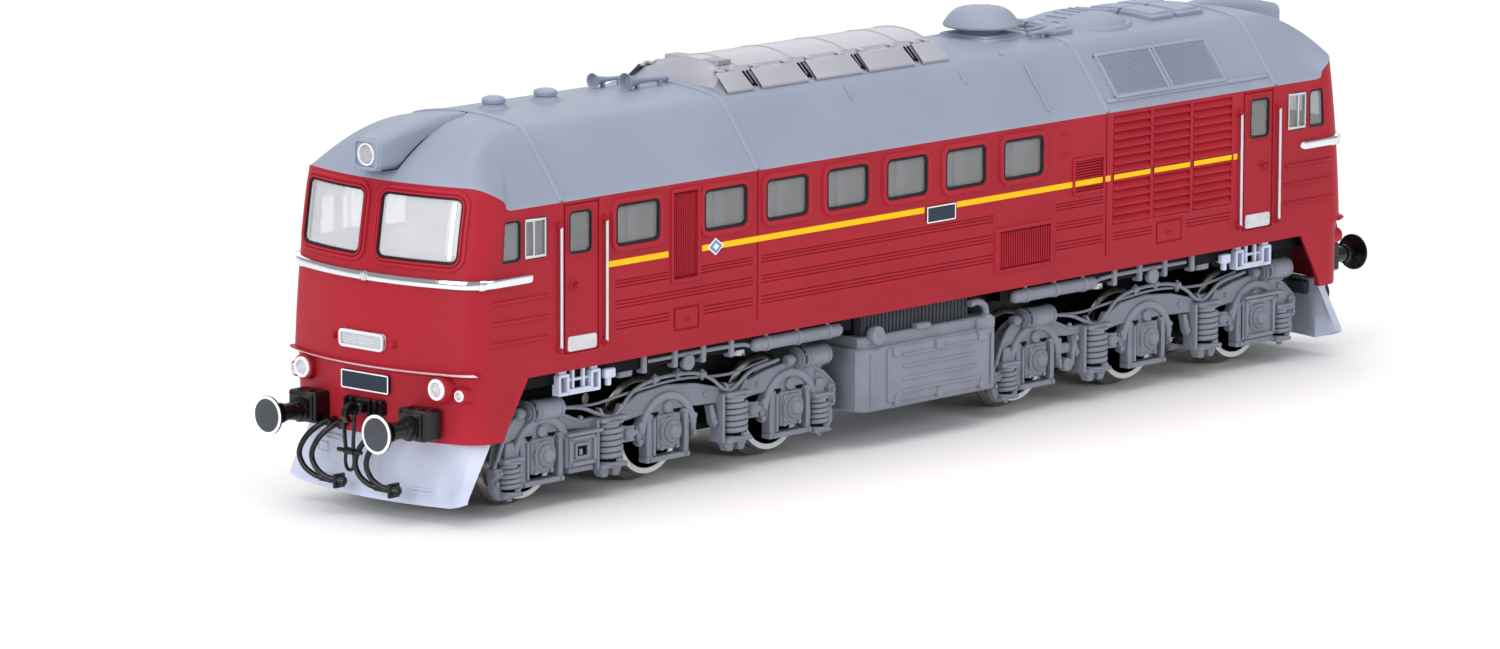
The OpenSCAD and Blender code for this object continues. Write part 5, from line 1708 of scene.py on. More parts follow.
        fan.turned((0, self.fan_y, z - 1.5), (0, 0, 1), [
            (0, self.fan_r + 0.5), (0.9, self.fan_r + 0.45), (1.25, self.fan_r + 0.25), (1.45, self.fan_r),
            (1.4, self.fan_r - 0.45),
            (1.75, self.fan_r - 0.8), (2.3, self.fan_r - 2.2), (2.75, self.fan_r - 4.0),
            (2.95, self.fan_r - 5.6), (3.0, 0.05)
        ], 64)
        for i in range(9):
            y = self.fan_y - 6.2 + 1.55 * i
            height = 1.4 + 1.5 * (1 - ((y - self.fan_y) / self.fan_r) ** 2)
            fan.block((-1.7, 1.7), (y - 0.22, y + 0.22), (z - 1.6, z - 1.45 + height + 0.25), 0.08)
        for x in (-1.85, 1.85):
            points = [(x, self.fan_y + d,
                       z - 1.1 + 1.55 * (1 - (d / self.fan_r) ** 2)) for d in spread(-6.6, 6.6, 1.1)]
            fan.tube(points, 0.26, 8)
        fan.piece("fan_grille", [ROOF_GREY], replaces=["fan_cover"], slot="roof_grey")

    def build(self) -> None:
        """Builds every piece of the roof."""
        self.build_skin()
        self.build_louvres()
        self.build_hood()
        self.build_tops()


# ---- wheels and bogies
@dataclass(frozen=True)
class GearTrain:
    """Where the gear on a driven axle has to stand to mesh with the idlers of the frame."""

    worm_teeth: int = 16
    idler_teeth: int = 18
    axle_teeth: int = 14
    tip: float = 0.85
    root: float = 1.2
    width: float = 1.5
    first: float = 90.0

    def module(self) -> float:
        """Size of one tooth, from the worm wheel of the frame."""
        low, high = box_of("worm_wheel_front")
        return (high[2] - low[2]) / (self.worm_teeth + 2 * self.tip)

    def mesh(self, phase: float, driver: int, driven: int, way: float) -> float:
        """Angle of the first tooth of a gear that meshes with another.

        Args:
            phase: Angle of the other gear's first tooth.
            driver: Teeth of the other gear.
            driven: Teeth of this gear.
            way: Direction from the other gear to this one.

        Returns:
            The angle in degrees.
        """
        return way + 180 + (way - phase) * driver / driven + 180 / driven

    def phase(self, axle: Vec2) -> float:
        """Angle of the first tooth of the gear on an axle.

        Args:
            axle: Y and Z of the axle.

        Returns:
            The angle in degrees.
        """
        low, high = box_of("worm_wheel_front" if axle[0] < 0 else "worm_wheel_rear")
        over, up = axle[0] - (low[1] + high[1]) / 2, (low[2] + high[2]) / 2 - axle[1]
        flip = axle[0] > 0
        way = math.degrees(math.atan2(-up, -over if flip else over))
        idler = self.mesh(self.first, self.worm_teeth, self.idler_teeth, way)
        own = self.mesh(idler, self.idler_teeth, self.axle_teeth, way)
        return 180 - own if flip else own

    def outline(self, axle: Vec2) -> list[Vec2]:
        """The toothed outline of the gear on an axle.

        Args:
            axle: Y and Z of the axle.

        Returns:
            The outline.
        """
        m, n = self.module(), self.axle_teeth
        pitch = 90 / n - 1.5
        points = []
        for k in range(n):
            middle = self.phase(axle) + 360 * k / n
            for turn, r in ((-pitch - 3, -self.root), (-pitch, 0.0), (-pitch + 4, self.tip),
                            (pitch - 4, self.tip), (pitch, 0.0), (pitch + 3, -self.root)):
                a = math.radians(middle + turn)
                size = m * (n / 2 + r)
                points.append((axle[0] + size * math.cos(a), axle[1] + size * math.sin(a)))
        return points


@dataclass
class Wheels:
    """The six wheelsets: brown wheels with a white rim, bright treads and axles with gears."""

    form: BodyForm
    tread_r: float = 6.0
    flange_r: float = 7.0
    back: float = 7.15
    width: float = 2.8
    driven: tuple[int, ...] = (1, 2, 5, 6)

    def wheel(self, mould: Mould, centre: Vec3) -> None:
        """One wheel on the +X side, its face outwards.

        Args:
            mould: Where its faces go.
            centre: Middle of its axle.
        """
        r = self.tread_r
        x, y, z = centre
        out = x + self.back + self.width
        mould.turned((x + self.back, y, z), (1, 0, 0), [
            (0.0, 1.2), (0.0, self.flange_r - 0.35), (0.12, self.flange_r - 0.08),
            (0.3, self.flange_r - 0.01),
            (0.5, self.flange_r - 0.08), (0.7, self.flange_r - 0.4), (0.85, r + 0.14), (1.0, r + 0.03),
            (self.width - 0.2, r - 0.03), (self.width - 0.08, r - 0.1), (self.width - 0.1, r - 0.2)
        ], 72, 1)
        mould.turned((out - 0.1, y, z), (1, 0, 0), [
            (0.0, r - 0.1), (0.07, r - 0.14), (0.1, r - 0.2), (0.1, 5.22), (0.04, 5.14), (-0.25, 5.1)
        ], 72, 2)
        mould.turned((out - 0.15, y, z), (1, 0, 0), [
            (-0.2, 5.12), (-0.2, 4.9), (-0.5, 4.6), (-0.7, 3.6), (-0.62, 2.6), (-0.35, 2.0), (0.25, 1.5),
            (0.4, 1.2), (0.4, 0.02)
        ], 64, 0)
        for a in (math.radians(40), math.radians(220)):
            mould.turned((out - 0.85, y + 3.5 * math.cos(a), z + 3.5 * math.sin(a)), (1, 0, 0),
                         [(0, 0.8), (0.28, 0.76), (0.32, 0.62), (0.16, 0.52), (0.14, 0.02)], 20, 0)

    def build(self) -> None:
        """Builds every wheelset."""
        for n in range(1, 7):
            low, high = box_of(f"wheelset_{n}")
            y, z = (low[1] + high[1]) / 2, (low[2] + high[2]) / 2
            mould = Mould()
            self.wheel(mould, (0.0, y, z))
            mould.both_sides()
            mould.turned((-self.back - 0.3, y, z), (1, 0, 0), [
                (0, 1.0), (0.4, 1.6), (1.0, 1.0), (6.3, 1.0), (6.4, 1.5), (6.6, 1.5), (8.3, 1.5), (8.5, 1.5),
                (8.6, 1.0), (13.9, 1.0), (14.5, 1.6), (14.9, 1.0)
            ], 24, 3)
            if n in self.driven:
                gear = GearTrain()
                mould.prism(gear.outline((y, z)), Axis.X, -gear.width / 2, gear.width / 2, 0.05, 4)
            finishes = [WHEEL_BROWN, TREAD_STEEL, WHITE, STEEL, ACETAL]
            mould.piece(f"wheels_{n}", finishes, f"axle_{n}", [f"wheelset_{n}"], "wheel_metal", 30)


@dataclass
class Bogie:
    """The moulded side frames of one bogie, hung with springs, cylinders, levers and boxes."""

    form: BodyForm
    name: str = "front"
    pivot: float = 49.5
    pitch: float = 24.15
    plane: float = 13.1
    axle_z: float = 7.0
    lattice: tuple[Vec2, ...] = ((-11.4, 9.9), (12.95, 10.1))

    def bolt(self, mould: Mould, y: float, z: float, x: float, r: float = 0.32) -> None:
        """A bolt head whose foot is at x."""
        mould.turned((x, y, z), (1, 0, 0), [(-0.2, r), (0.22, r), (0.34, r * 0.6), (0.36, 0.02)], 10)

    def coil(self, mould: Mould, y: float, z: Vec2, r: float, turns: int, x: float) -> None:
        """A coil spring with a near-black core of painted shade inside it, and the seats above and below.

        Args:
            mould: Where its faces go.
            y: Its middle from the pivot.
            z: Its foot and its head.
            r: Its outer radius.
            turns: Number of turns.
            x: Its middle across the model.
        """
        rise = (z[1] - z[0]) / turns
        wire = rise * 0.46
        chords = 14
        path = []
        for i in range(turns * chords + 1):
            a = 2 * math.pi * i / chords
            path.append((x + (r - wire) * math.cos(a), y + (r - wire) * math.sin(a),
                         z[0] + rise * i / chords))
        mould.tube(path, wire, 8)
        # Near-black core: painted shade inside the coil.
        mould.rod((x, y, z[0] - 0.2), (x, y, z[1] + 0.2), r - wire * 1.5, 14, slot=1)
        for foot, way in ((z[1] + 0.1, 1), (z[0] - 0.1, -1)):
            mould.turned((x, y, foot), (0, 0, way), [(0, r * 0.9), (0.1, r), (0.3, r), (0.4, r * 0.9)], 20)

    def arch(self, mould: Mould, y: float, r: Vec2, x: Vec2) -> None:
        """A curved moulding over an axle.

        Args:
            mould: Where its faces go.
            y: Y of the axle from the pivot.
            r: Inner and outer radius.
            x: Where its back and its face lie.
        """
        section = ((x[0], r[1]), (x[1] - 0.15, r[1]), (x[1], r[1] - 0.15), (x[1], r[0] + 0.15),
                   (x[1] - 0.15, r[0]), (x[0], r[0]))
        turns = [math.radians(a) for a in spread(8, 172, 9)]
        loops = [[(d, y + q * math.cos(a), self.axle_z + q * math.sin(a)) for d, q in section] for a in turns]
        mould.loft(loops, caps=True)

    def axlebox(self, mould: Mould, y: float) -> None:
        """The bearing box of one axle with its guides, cap, tie and arch.

        Args:
            mould: Where its faces go.
            y: Y of the axle from the pivot.
        """
        x, z = self.plane, self.axle_z
        hump = [(y - 4.2, z - 1.0), (y + 4.2, z - 1.0), *arc(y, z, 5.3, 20, 160, 12)]
        mould.prism(hump, Axis.X, x - 1.0, x + 0.1, 0.15)
        self.arch(mould, y, (4.55, 5.6), (x - 0.8, x + 0.65))
        mould.prism(round_rect(y - 2.2, y + 2.2, z - 2.1, z + 2.6, 0.5), Axis.X, x - 0.6, x + 0.7, 0.2)
        mould.prism(round_rect(y - 1.75, y + 1.75, z - 1.6, z + 2.2, 0.5), Axis.X, x, x + 1.0, 0.15)
        mould.turned((x + 0.6, y, z + 0.35), (1, 0, 0), [
            (0, 1.95), (0.55, 1.95), (0.65, 1.82), (0.62, 1.5), (0.9, 1.42), (1.0, 1.32), (0.98, 1.0),
            (1.2, 0.85), (1.35, 0.7), (1.38, 0.1)
        ], 32)
        for side in (-1, 1):
            leg = [(y + side * a, b) for a, b in ((2.9, 3.7), (4.0, 3.7), (4.1, 6.0), (4.0, 9.9), (2.9, 9.9))]
            mould.prism(leg, Axis.X, x - 1.1, x + 0.55, 0.12)
            edge = [(y + side * a, b) for a, b in ((2.75, 4.4), (3.15, 4.4), (3.15, 9.4), (2.75, 9.4))]
            mould.prism(edge, Axis.X, x, x + 0.95, 0.08)
            web = [(y + side * a, b) for a, b in ((4.0, 8.2), (5.3, 9.2), (5.9, 8.6), (5.6, 6.1),
                (4.9, 5.7), (4.8, 7.4))]
            mould.prism(web, Axis.X, x - 0.7, x + 0.3, 0.1)
            for b in (8.7, 6.4):
                self.bolt(mould, y + side * 5.3, b, x + 0.3, 0.42)
            # A disc and a plate of near-black painted shade beside the top of each guide.
            mould.turned((x - 0.05, y + side * 2.15, 10.15), (1, 0, 0),
                         [(0, 0.75), (0.2, 0.75), (0.22, 0.02)], 16, 1)
            mould.prism([(y + side * 1.4, 9.9), (y + side * 2.2, 9.5), (y + side * 2.9, 10.6),
                         (y + side * 2.0, 10.9)],
                        Axis.X, x - 0.1, x + 0.16, 0.05, 1)
            for b in (5.2, 8.9):
                self.bolt(mould, y + side * 1.5, b, x + 0.7)
        mould.prism(round_rect(y - 4.3, y + 4.1, 3.45, 4.15, 0.2), Axis.X, x - 0.9, x + 0.75, 0.1)
        for side in (-1, 1):
            self.bolt(mould, y + side * 3.5, 3.8, x + 0.75, 0.3)
        mould.turned((x, y, 10.5), (1, 0, 0), [(0, 0.85), (0.6, 0.8), (0.75, 0.6), (0.8, 0.1)], 16)

    def beam(self) -> list[Vec2]:
        """The outline of the side frame's long beam."""
        p = self.pitch
        top = [
            (-32.8, 6.6), (-31.0, 11.2), (-29.0, 12.4), (-p, 12.9), (-19.8, 12.2), (-16.6, 10.9),
            (-9.4, 10.9),
            (-7.6, 12.0), (-5.6, 12.9), (0, 13.4), (5.6, 12.9), (9.6, 11.9), (15.5, 11.9), (19.6, 12.9),
            (p, 13.5), (28.2, 12.9), (31.0, 11.4), (33.1, 9.6)
        ]
        low = [
            (33.1, 7.6), (31.9, 8.2), (30.4, 9.7), (p + 5.2, 9.9), (p - 5.2, 9.9), (16.2, 9.7), (9.6, 9.7),
            (5.2, 9.9),
            (-5.2, 9.9), (-8.8, 9.5), (-14.4, 9.5), (-p + 5.2, 9.9), (-p - 5.2, 9.9), (-31.6, 8.6),
            (-32.7, 5.4)
        ]
        return top + low

    def cylinder(self, mould: Mould, y: Vec2, z: float) -> None:
        """A brake cylinder that lies along the beam.

        Args:
            mould: Where its faces go.
            y: Its two ends from the pivot.
            z: Height of its axis.
        """
        x = self.plane + 0.35
        long = y[1] - y[0]
        mould.turned((x, y[0], z), (0, 1, 0), [
            (0, 0.5), (0.15, 0.75), (1.3, 0.75), (1.4, 0.45), (1.9, 0.45), (2.0, 1.05), (2.5, 1.1),
            (2.6, 0.85),
            (3.2, 0.85), (3.3, 1.3), (3.5, 1.42), (long - 1.0, 1.42), (long - 0.85, 1.3), (long - 0.8, 0.6),
            (long, 0.5)
        ], 28)
        for at in (y[0] + 2.3, y[0] + 3.9, y[1] - 1.5):
            mould.turned((x, at - 0.12, z), (0, 1, 0), [(0, 1.3), (0.03, 1.52), (0.21, 1.52), (0.24, 1.3)],
                         28)
        for a in (0.6, 2.2, 3.9, 5.4):
            mould.turned((x + 1.05 * math.cos(a), y[0] + 3.3, z + 1.05 * math.sin(a)), (0, -1, 0),
                         [(0, 0.2), (0.25, 0.2), (0.3, 0.1)], 8)
        mould.block((x - 1.0, x - 0.1), (y[0] + 2.6, y[1] - 1.2), (z - 1.9, z - 0.7), 0.15)

    def spring_seat(self, mould: Mould, y: float, head: float) -> None:
        """A main spring in its bracket, with the lever that points at the next axle.

        Args:
            mould: Where its faces go.
            y: Its middle from the pivot.
            head: Height of the spring's top.
        """
        x = self.plane
        foot = head - 4.9
        self.coil(mould, y, (foot, head), 2.05, 6, x + 0.35)
        for z in (head + 0.35, foot - 0.95):
            mould.block((x - 1.2, x + 1.7), (y - 2.5, y + 2.4), (z, z + 0.6), 0.1)
        mould.block((x - 1.2, x + 1.2), (y - 2.95, y - 2.45), (foot - 0.9, head + 0.9), 0.1)
        for side in (-1, 1):
            gusset = [(y + side * 0.3, foot - 0.9), (y + side * 2.3, foot - 0.9),
                      (y + side * 1.5, foot - 2.2),
                      (y + side * 0.6, foot - 2.2)]
            mould.prism(gusset, Axis.X, x - 0.6, x + 0.9, 0.1)
            rib = [(y + side * 0.9, head + 0.9), (y + side * 1.5, head + 0.9), (y + side * 2.3, head + 2.3),
                   (y + side * 1.9, head + 2.3)]
            mould.prism(rib, Axis.X, x, x + 0.9, 0.08)
        lever = [(y + 2.0, 9.1), (y + 4.6, 8.8), (y + 5.2, 8.3), (y + 6.7, 7.9), (y + 5.2, 7.5),
                 (y + 4.6, 7.0), (y + 2.0, 6.8)]
        mould.prism(lever, Axis.X, x - 0.7, x + 0.45, 0.12)
        mould.turned((x, y + 3.4, 7.95), (1, 0, 0), [(0, 0.75), (0.8, 0.7), (1.0, 0.5), (1.1, 0.1)], 16)
        for z in (8.8, 7.1):
            mould.rod((x + 0.3, y + 2.0, z), (x + 0.3, y + 5.0, z - 0.1), 0.22, 8)
        link = [(y - 4.6, 9.5), (y - 3.9, 9.6), (y - 3.0, 7.2), (y - 3.4, 6.4), (y - 4.0, 7.0)]
        mould.prism(link, Axis.X, x - 0.8, x + 0.35, 0.1)
        self.bolt(mould, y - 3.6, 7.2, x + 0.3, 0.4)

    def pipes(self, mould: Mould) -> None:
        """Adds the wavy brake pipes along the beam and the one at the bogie's end.

        Args:
            mould: Where its faces go.
        """
        x = self.plane
        wave = [(0.35, -20.4, 13.1), (0.6, -16.8, 12.6), (0.7, -13.6, 11.4), (0.7, -11.2, 10.7),
                (0.7, -9.4, 11.6),
                (0.6, -6.8, 13.6), (0.5, -3.2, 14.5), (0.5, 0.6, 14.7), (0.5, 5.2, 14.4), (0.6, 8.4, 13.2),
                (0.7, 10.4, 11.7), (0.7, 12.0, 11.3), (0.7, 13.6, 12.0), (0.6, 16.4, 13.4), (0.4, 21.8, 14.1)]
        mould.tube(spline([(x + d, y, z) for d, y, z in wave], 4), 0.26, 8)
        low = [(-0.1, -18.6, 12.9), (0.2, -14.0, 12.7), (0.2, -9.0, 13.2), (0.0, 2.0, 13.9),
               (0.0, 12.0, 13.3),
               (0.1, 20.0, 14.3)]
        mould.tube(spline([(x + d, y, z) for d, y, z in low], 4), 0.2, 8)
        for y, z in ((-2.6, 14.6), (1.8, 14.8), (6.6, 14.1)):
            mould.rod((x + 0.5, y - 0.55, z), (x + 0.5, y + 0.55, z), 0.46, 12)
            mould.rod((x + 0.5, y, z - 0.8), (x + 0.5, y, z + 0.7), 0.22, 8)
        end = [(0.3, -28.4, 13.0), (0.6, -30.4, 12.0), (0.7, -31.9, 9.8), (0.6, -32.7, 7.6)]
        mould.tube(spline([(x + d, y, z) for d, y, z in end], 4), 0.3, 8)

    def ends(self, mould: Mould) -> None:
        """Adds the springs, guards and blocks at both ends of the frame.

        Args:
            mould: Where its faces go.
        """
        x = self.plane
        for y, z, r in ((-30.2, (3.5, 6.9), 1.65), (30.0, (4.1, 7.7), 1.5)):
            self.coil(mould, y, z, r, 5, x + 0.3)
            mould.block((x - 1.0, x + 1.5), (y - r - 0.3, y + r + 0.3), (z[1] + 0.4, z[1] + 0.9), 0.1)
            mould.block((x - 1.0, x + 1.3), (y - r - 0.1, y + r + 0.1), (z[0] - 0.9, z[0] - 0.4), 0.1)
            mould.rod((x + 0.3, y, z[0] - 1.5), (x + 0.3, y, z[0] - 0.5), 0.4, 10)
            ear = [(y - 1.0, z[1] + 0.8), (y + 1.0, z[1] + 0.8), (y + 0.7, z[1] + 2.8), (y - 0.7, z[1] + 2.8)]
            mould.prism(ear, Axis.X, x - 0.7, x + 0.6, 0.12)
        guard = [(-32.0, 5.6), (-32.8, 6.6), (-33.2, 5.2), (-32.8, 3.4), (-31.9, 2.3), (-29.8, 2.2),
                 (-29.6, 2.8),
                 (-31.3, 3.2), (-31.9, 4.2)]
        mould.prism(guard, Axis.X, x - 0.9, x + 0.3, 0.12)
        mould.block((x - 0.9, x + 0.6), (-33.1, -31.4), (5.2, 6.6), 0.15)
        for y, z in ((-32.7, 5.9), (-31.9, 5.9), (-32.6, 4.6)):
            self.bolt(mould, y, z, x + 0.5, 0.36)
        mould.prism(round_rect(31.8, 33.2, 6.4, 9.5, 0.35), Axis.X, x - 1.0, x + 0.7, 0.2)
        for z in (7.2, 8.7):
            self.bolt(mould, 32.5, z, x + 0.7, 0.34)
        hook = [(31.9, 6.6), (32.8, 6.6), (33.0, 4.4), (32.3, 3.4), (31.2, 3.3), (31.2, 3.9), (32.1, 4.4)]
        mould.prism(hook, Axis.X, x - 0.6, x + 0.3, 0.1)

    def box(self, mould: Mould, y: Vec2, z: Vec2) -> None:
        """A box on the frame with a raised rim and a hatch whose open middle is a near-black plate of painted
        shade.

        Args:
            mould: Where its faces go.
            y: Its ends from the pivot.
            z: Its bottom and top.
        """
        x = self.plane
        outer = round_rect(*y, *z, 0.4)
        mould.prism(outer, Axis.X, x - 0.9, x + 0.9, 0.2)
        mould.frame(inset(outer, 0.25), 0.5, Axis.X, x + 0.6, x + 1.35)
        middle = (y[0] + y[1]) / 2
        hatch = round_rect(middle - 1.35, middle + 1.35, z[0] + 1.1, z[1] - 1.2, 0.25)
        mould.frame(hatch, 0.4, Axis.X, x + 0.6, x + 1.2)
        # Near-black plate of painted shade in the hatch's middle.
        mould.prism(inset(hatch, 0.35), Axis.X, x + 0.5, x + 0.93, 0.02, 1)
        mould.block((x + 0.7, x + 1.1), (middle - 0.5, middle + 0.1), (z[0] + 1.6, z[1] - 2.0), 0.08)
        mould.block((x - 1.0, x + 1.6), (y[0] - 0.2, y[1] + 0.8), (z[1] - 0.1, z[1] + 0.35), 0.1)
        mould.block((x - 0.6, x + 0.9), (y[0] + 0.5, y[1] - 0.5), (z[0] - 0.7, z[0]), 0.1)

    def links(self, mould: Mould, y: float) -> None:
        """The open brake links between two axles.

        Args:
            mould: Where its faces go.
            y: Their middle from the pivot.
        """
        x = self.plane
        for side in (-1, 1):
            bar = [(y + side * 1.6, 9.8), (y + side * 2.3, 9.8), (y + side * 1.6, 5.4), (y + side * 0.9, 5.4)]
            mould.prism(bar, Axis.X, x - 0.7, x + 0.4, 0.1)
            self.bolt(mould, y + side * 1.9, 9.3, x + 0.4, 0.45)
        mould.turned((x - 0.5, y, 5.7), (1, 0, 0), [(0, 0.95), (1.1, 0.95), (1.3, 0.7), (1.35, 0.1)], 16)
        mould.block((x - 1.2, x - 0.2), (y - 3.6, y + 3.6), (7.2, 8.6), 0.15)

    def build(self) -> None:
        """Builds both side frames of this bogie."""
        mould = Mould()
        x, p = self.plane, self.pitch
        beam = self.beam()
        mould.prism(beam, Axis.X, x - 0.9, x + 0.2, 0.2)
        mould.tube([(x + 0.1, a, b - 0.2) for a, b in beam[:18]], 0.3, 8)
        for y in (-p, 0.0, p):
            self.axlebox(mould, y)
        for y, head in self.lattice:
            self.spring_seat(mould, y, head)
        self.cylinder(mould, (-29.2, -20.0), 13.3)
        self.cylinder(mould, (23.2, 32.2), 13.75)
        self.pipes(mould)
        self.ends(mould)
        if self.name == "front":
            self.box(mould, (-19.9, -14.3), (4.9, 9.3))
        else:
            self.box(mould, (21.0, 28.0), (4.3, 10.4))
            self.links(mould, -17.2)
        for y in (-16.6, 7.4, 17.8, 29.6):
            self.bolt(mould, y, 11.2, x + 0.2, 0.36)
        mould.both_sides()
        way = -1 if self.name == "front" else 1
        mould.points = [(a, b + way * self.pivot, c) for a, b, c in mould.points]
        mould.piece(f"bogie_sides_{self.name}", [UNDER_GREY, SHADOW], f"bogie_{self.name}",
                    [f"sideframes_{self.name}"], "underframe_grey", 30)


class RearBogie(Bogie):
    """The bogie under cab two, with links where the other has its box."""

    def __init__(self, form: BodyForm) -> None:
        """Takes the same sizes as the bogie under cab one."""
        super().__init__(form, name="rear")


# ---- underframe and ends
@dataclass
class Underframe:
    """The fuel tank, air reservoirs and steps under the body."""

    form: BodyForm
    tank: tuple[Vec3, Vec3] = field(default_factory=lambda: box_of("fuel_tank"))
    reservoir: tuple[Vec3, Vec3] = field(default_factory=lambda: box_of("air_reservoirs"))

    def build_tank(self) -> None:
        """Makes the fuel tank with its hatch panel, ribs, latches, filler and pipes."""
        (_, y0, z0), (w, y1, z1) = self.tank
        tank = Mould()
        c = 1.2
        outline = [
            (-w + c, y0), (w - c, y0), (w, y0 + c), (w, y1 - c), (w - c, y1), (-w + c, y1), (-w, y1 - c),
            (-w, y0 + c)
        ]
        tank.prism(outline, Axis.Z, z0, z1 - 1.6, 0.3)
        tank.prism(inset(outline, 0.7), Axis.Z, z1 - 1.8, z1 - 0.05, 0.2)
        start = len(tank.faces)
        tank.prism(round_rect(-9.2, 11.6, z0 + 0.9, z1 - 1.9, 0.5), Axis.X, w - 0.2, w + 0.34, 0.12)
        for z in (z0 + 2.2, z0 + 3.9, z0 + 5.6, z0 + 7.2):
            tank.block((w + 0.2, w + 0.55), (-6.4, 9.0), (z - 0.2, z + 0.2), 0.1)
        for y in (-7.6, 1.2, 10.0):
            tank.block((w + 0.1, w + 0.75), (y - 0.75, y + 0.75), (z1 - 3.1, z1 - 1.9), 0.12)
            tank.rod((w + 0.45, y - 0.9, z1 - 2.0), (w + 0.45, y + 0.9, z1 - 2.0), 0.35, 12)
            tank.block((w + 0.1, w + 0.7), (y - 0.4, y + 0.4), (z0 + 0.5, z0 + 1.8), 0.1)
            tank.rod((w + 0.5, y, z0 + 0.6), (w + 0.5, y, z0 + 1.9), 0.22, 8)
        for y in (y0 + 1.9, y1 - 1.9):
            tank.block((w - 0.1, w + 0.3), (y - 0.2, y + 0.2), (z0 + 0.8, z1 - 2.4), 0.1)
        tank.turned((w - 1.9, y0 + 3.0, z1 - 1.9), (0, 0, 1), [
            (0, 1.5), (0.9, 1.5), (1.0, 1.7), (1.3, 1.75), (1.6, 1.65), (1.9, 1.1), (2.0, 0.05)
        ], 24)
        tank.turned((w - 0.9, y0 + 3.0, z1 + 0.2), (1, 0, 0), [
            (0, 1.05), (0.5, 1.05), (0.6, 1.25), (1.3, 1.25), (1.45, 1.1), (1.5, 0.3)
        ], 24)
        top = self.form.skirt + 0.3
        tank.block((w - 3.6, w - 1.7), (-12.4, 9.4), (z1 - 0.3, top), 0.1, 1)
        for y in spread(-12.0, 9.0, 0.75):
            tank.block((w - 1.8, w - 1.5), (y - 0.2, y + 0.2), (z1 - 0.1, top), 0.06, 1)
        tank.block((w - 1.9, w - 0.3), (-2.4, 0.4), (z1 - 0.3, z1 + 0.6), 0.2)
        tank.tube(spline([(w - 1.0, 9.0, z1 + 1.9), (w - 1.0, 10.6, z1 + 2.0), (w - 1.0, 12.0, z1 + 1.4),
                          (w - 1.0, 12.4, z1 + 0.2), (w - 1.0, 12.4, z1 - 1.6)], 5), 0.5, 12)
        tank.turned((w - 1.0, 12.4, z1 - 0.5), (0, 0, 1), [(0, 0.85), (0.5, 0.85), (0.6, 0.7)], 16)
        tank.block((w - 2.4, w - 0.2), (9.9, 13.6), (z1 - 1.9, z1 - 0.2), 0.2)
        tank.both_sides(start)
        tank.piece("fuel_tank_box", [UNDER_GREY, DARK_GREY], replaces=["fuel_tank", "tank_fittings"],
                   slot="underframe_grey")

    def build_reservoirs(self) -> None:
        """Makes the long air reservoirs with their bands, and the pipes and brackets beside them."""
        (_, _, z0), (x1, y1, z1) = self.reservoir
        r = (z1 - z0) / 2 + 0.02
        x, z = x1 + 0.25, z1 + 0.35
        mould = Mould()
        for way in (-1, 1):
            a, b = way * 17.6, way * 35.6
            long = abs(b - a)
            mould.turned((x, a, z), (0, way, 0), [
                (0, 0.25), (0.15, r * 0.6), (0.5, r * 0.9), (1.0, r), (long - 1.0, r), (long - 0.5, r * 0.9),
                (long - 0.15, r * 0.6), (long, 0.25)
            ], 24)
            for share in (0.16, 0.5, 0.84):
                y = a + (b - a) * share
                mould.turned((x, y - 0.3, z), (0, 1, 0), [(0, r), (0.03, r + 0.14), (0.57, r + 0.14),
                    (0.6, r)], 24)
                mould.block((x - 0.3, x + 0.3), (y - 0.3, y + 0.3), (z + r - 0.3, self.form.skirt + 0.3), 0.1)
            mould.tube(spline([(x - 0.2, b + way * 0.2, z), (x, b + way * 2.2, z + 0.4),
                               (x, b + way * 9, z + 0.5),
                               (x - 0.3, b + way * 20, z + 0.4)], 5), 0.3, 8)
            for d in (4.0, 9.5, 15.0, 21.0):
                mould.block((x - 1.0, x + 0.4), (b + way * d - 0.4, b + way * d + 0.4),
                            (z - 1.0, self.form.skirt + 0.1), 0.12)
            mould.turned((x - 0.4, b + way * 12.4, z - 0.6), (1, 0, 0),
                         [(0, 1.1), (0.7, 1.1), (0.9, 0.9), (0.95, 0.4)], 20)
            mould.block((x - 2.4, x - 0.2), (b + way * 24.0 - 1.3, b + way * 24.0 + 1.3),
                        (z - 1.2, self.form.skirt), 0.2)
        mould.both_sides()
        mould.piece("air_reservoir_tanks", [UNDER_GREY], replaces=["air_reservoirs"], slot="underframe_grey")

    def build_steps(self) -> None:
        """Makes the open light grey steps under the cab doors."""
        mould = Mould()
        for low, high in ((71.5, 73.5), (65.6, 67.4)):
            mould.frame(round_rect(low, high, 15.35, 18.2, 0.25), 0.42, Axis.X, 15.3, 16.6, 0.08)
            mould.block((15.5, 16.3), (low + 0.3, high - 0.3), (18.0, 18.8), 0.1)
        mould.block((14.4, 16.6), (67.2, 71.7), (15.35, 15.8), 0.1)
        mould.block((15.65, 16.0), (67.2, 71.7), (17.0, 17.4), 0.1)
        mould.block((16.2, 16.6), (67.2, 71.7), (15.7, 16.1), 0.06)
        for y in (68.4, 70.4):
            mould.block((15.65, 16.2), (y - 0.25, y + 0.25), (15.7, 18.7), 0.08)
        mould.block((15.6, 16.5), (62.6, 64.6), (16.6, 17.9), 0.15)
        mould.rod((15.9, 63.6, 15.6), (15.9, 63.6, 17.0), 0.45, 12)
        mould.both_ends()
        mould.both_sides()
        mould.piece("cab_step_frames", [LIGHT_GREY], replaces=["cab_steps"], slot="light_grey")

    def build(self) -> None:
        """Builds everything under the body."""
        self.build_tank()
        self.build_reservoirs()
        self.build_steps()


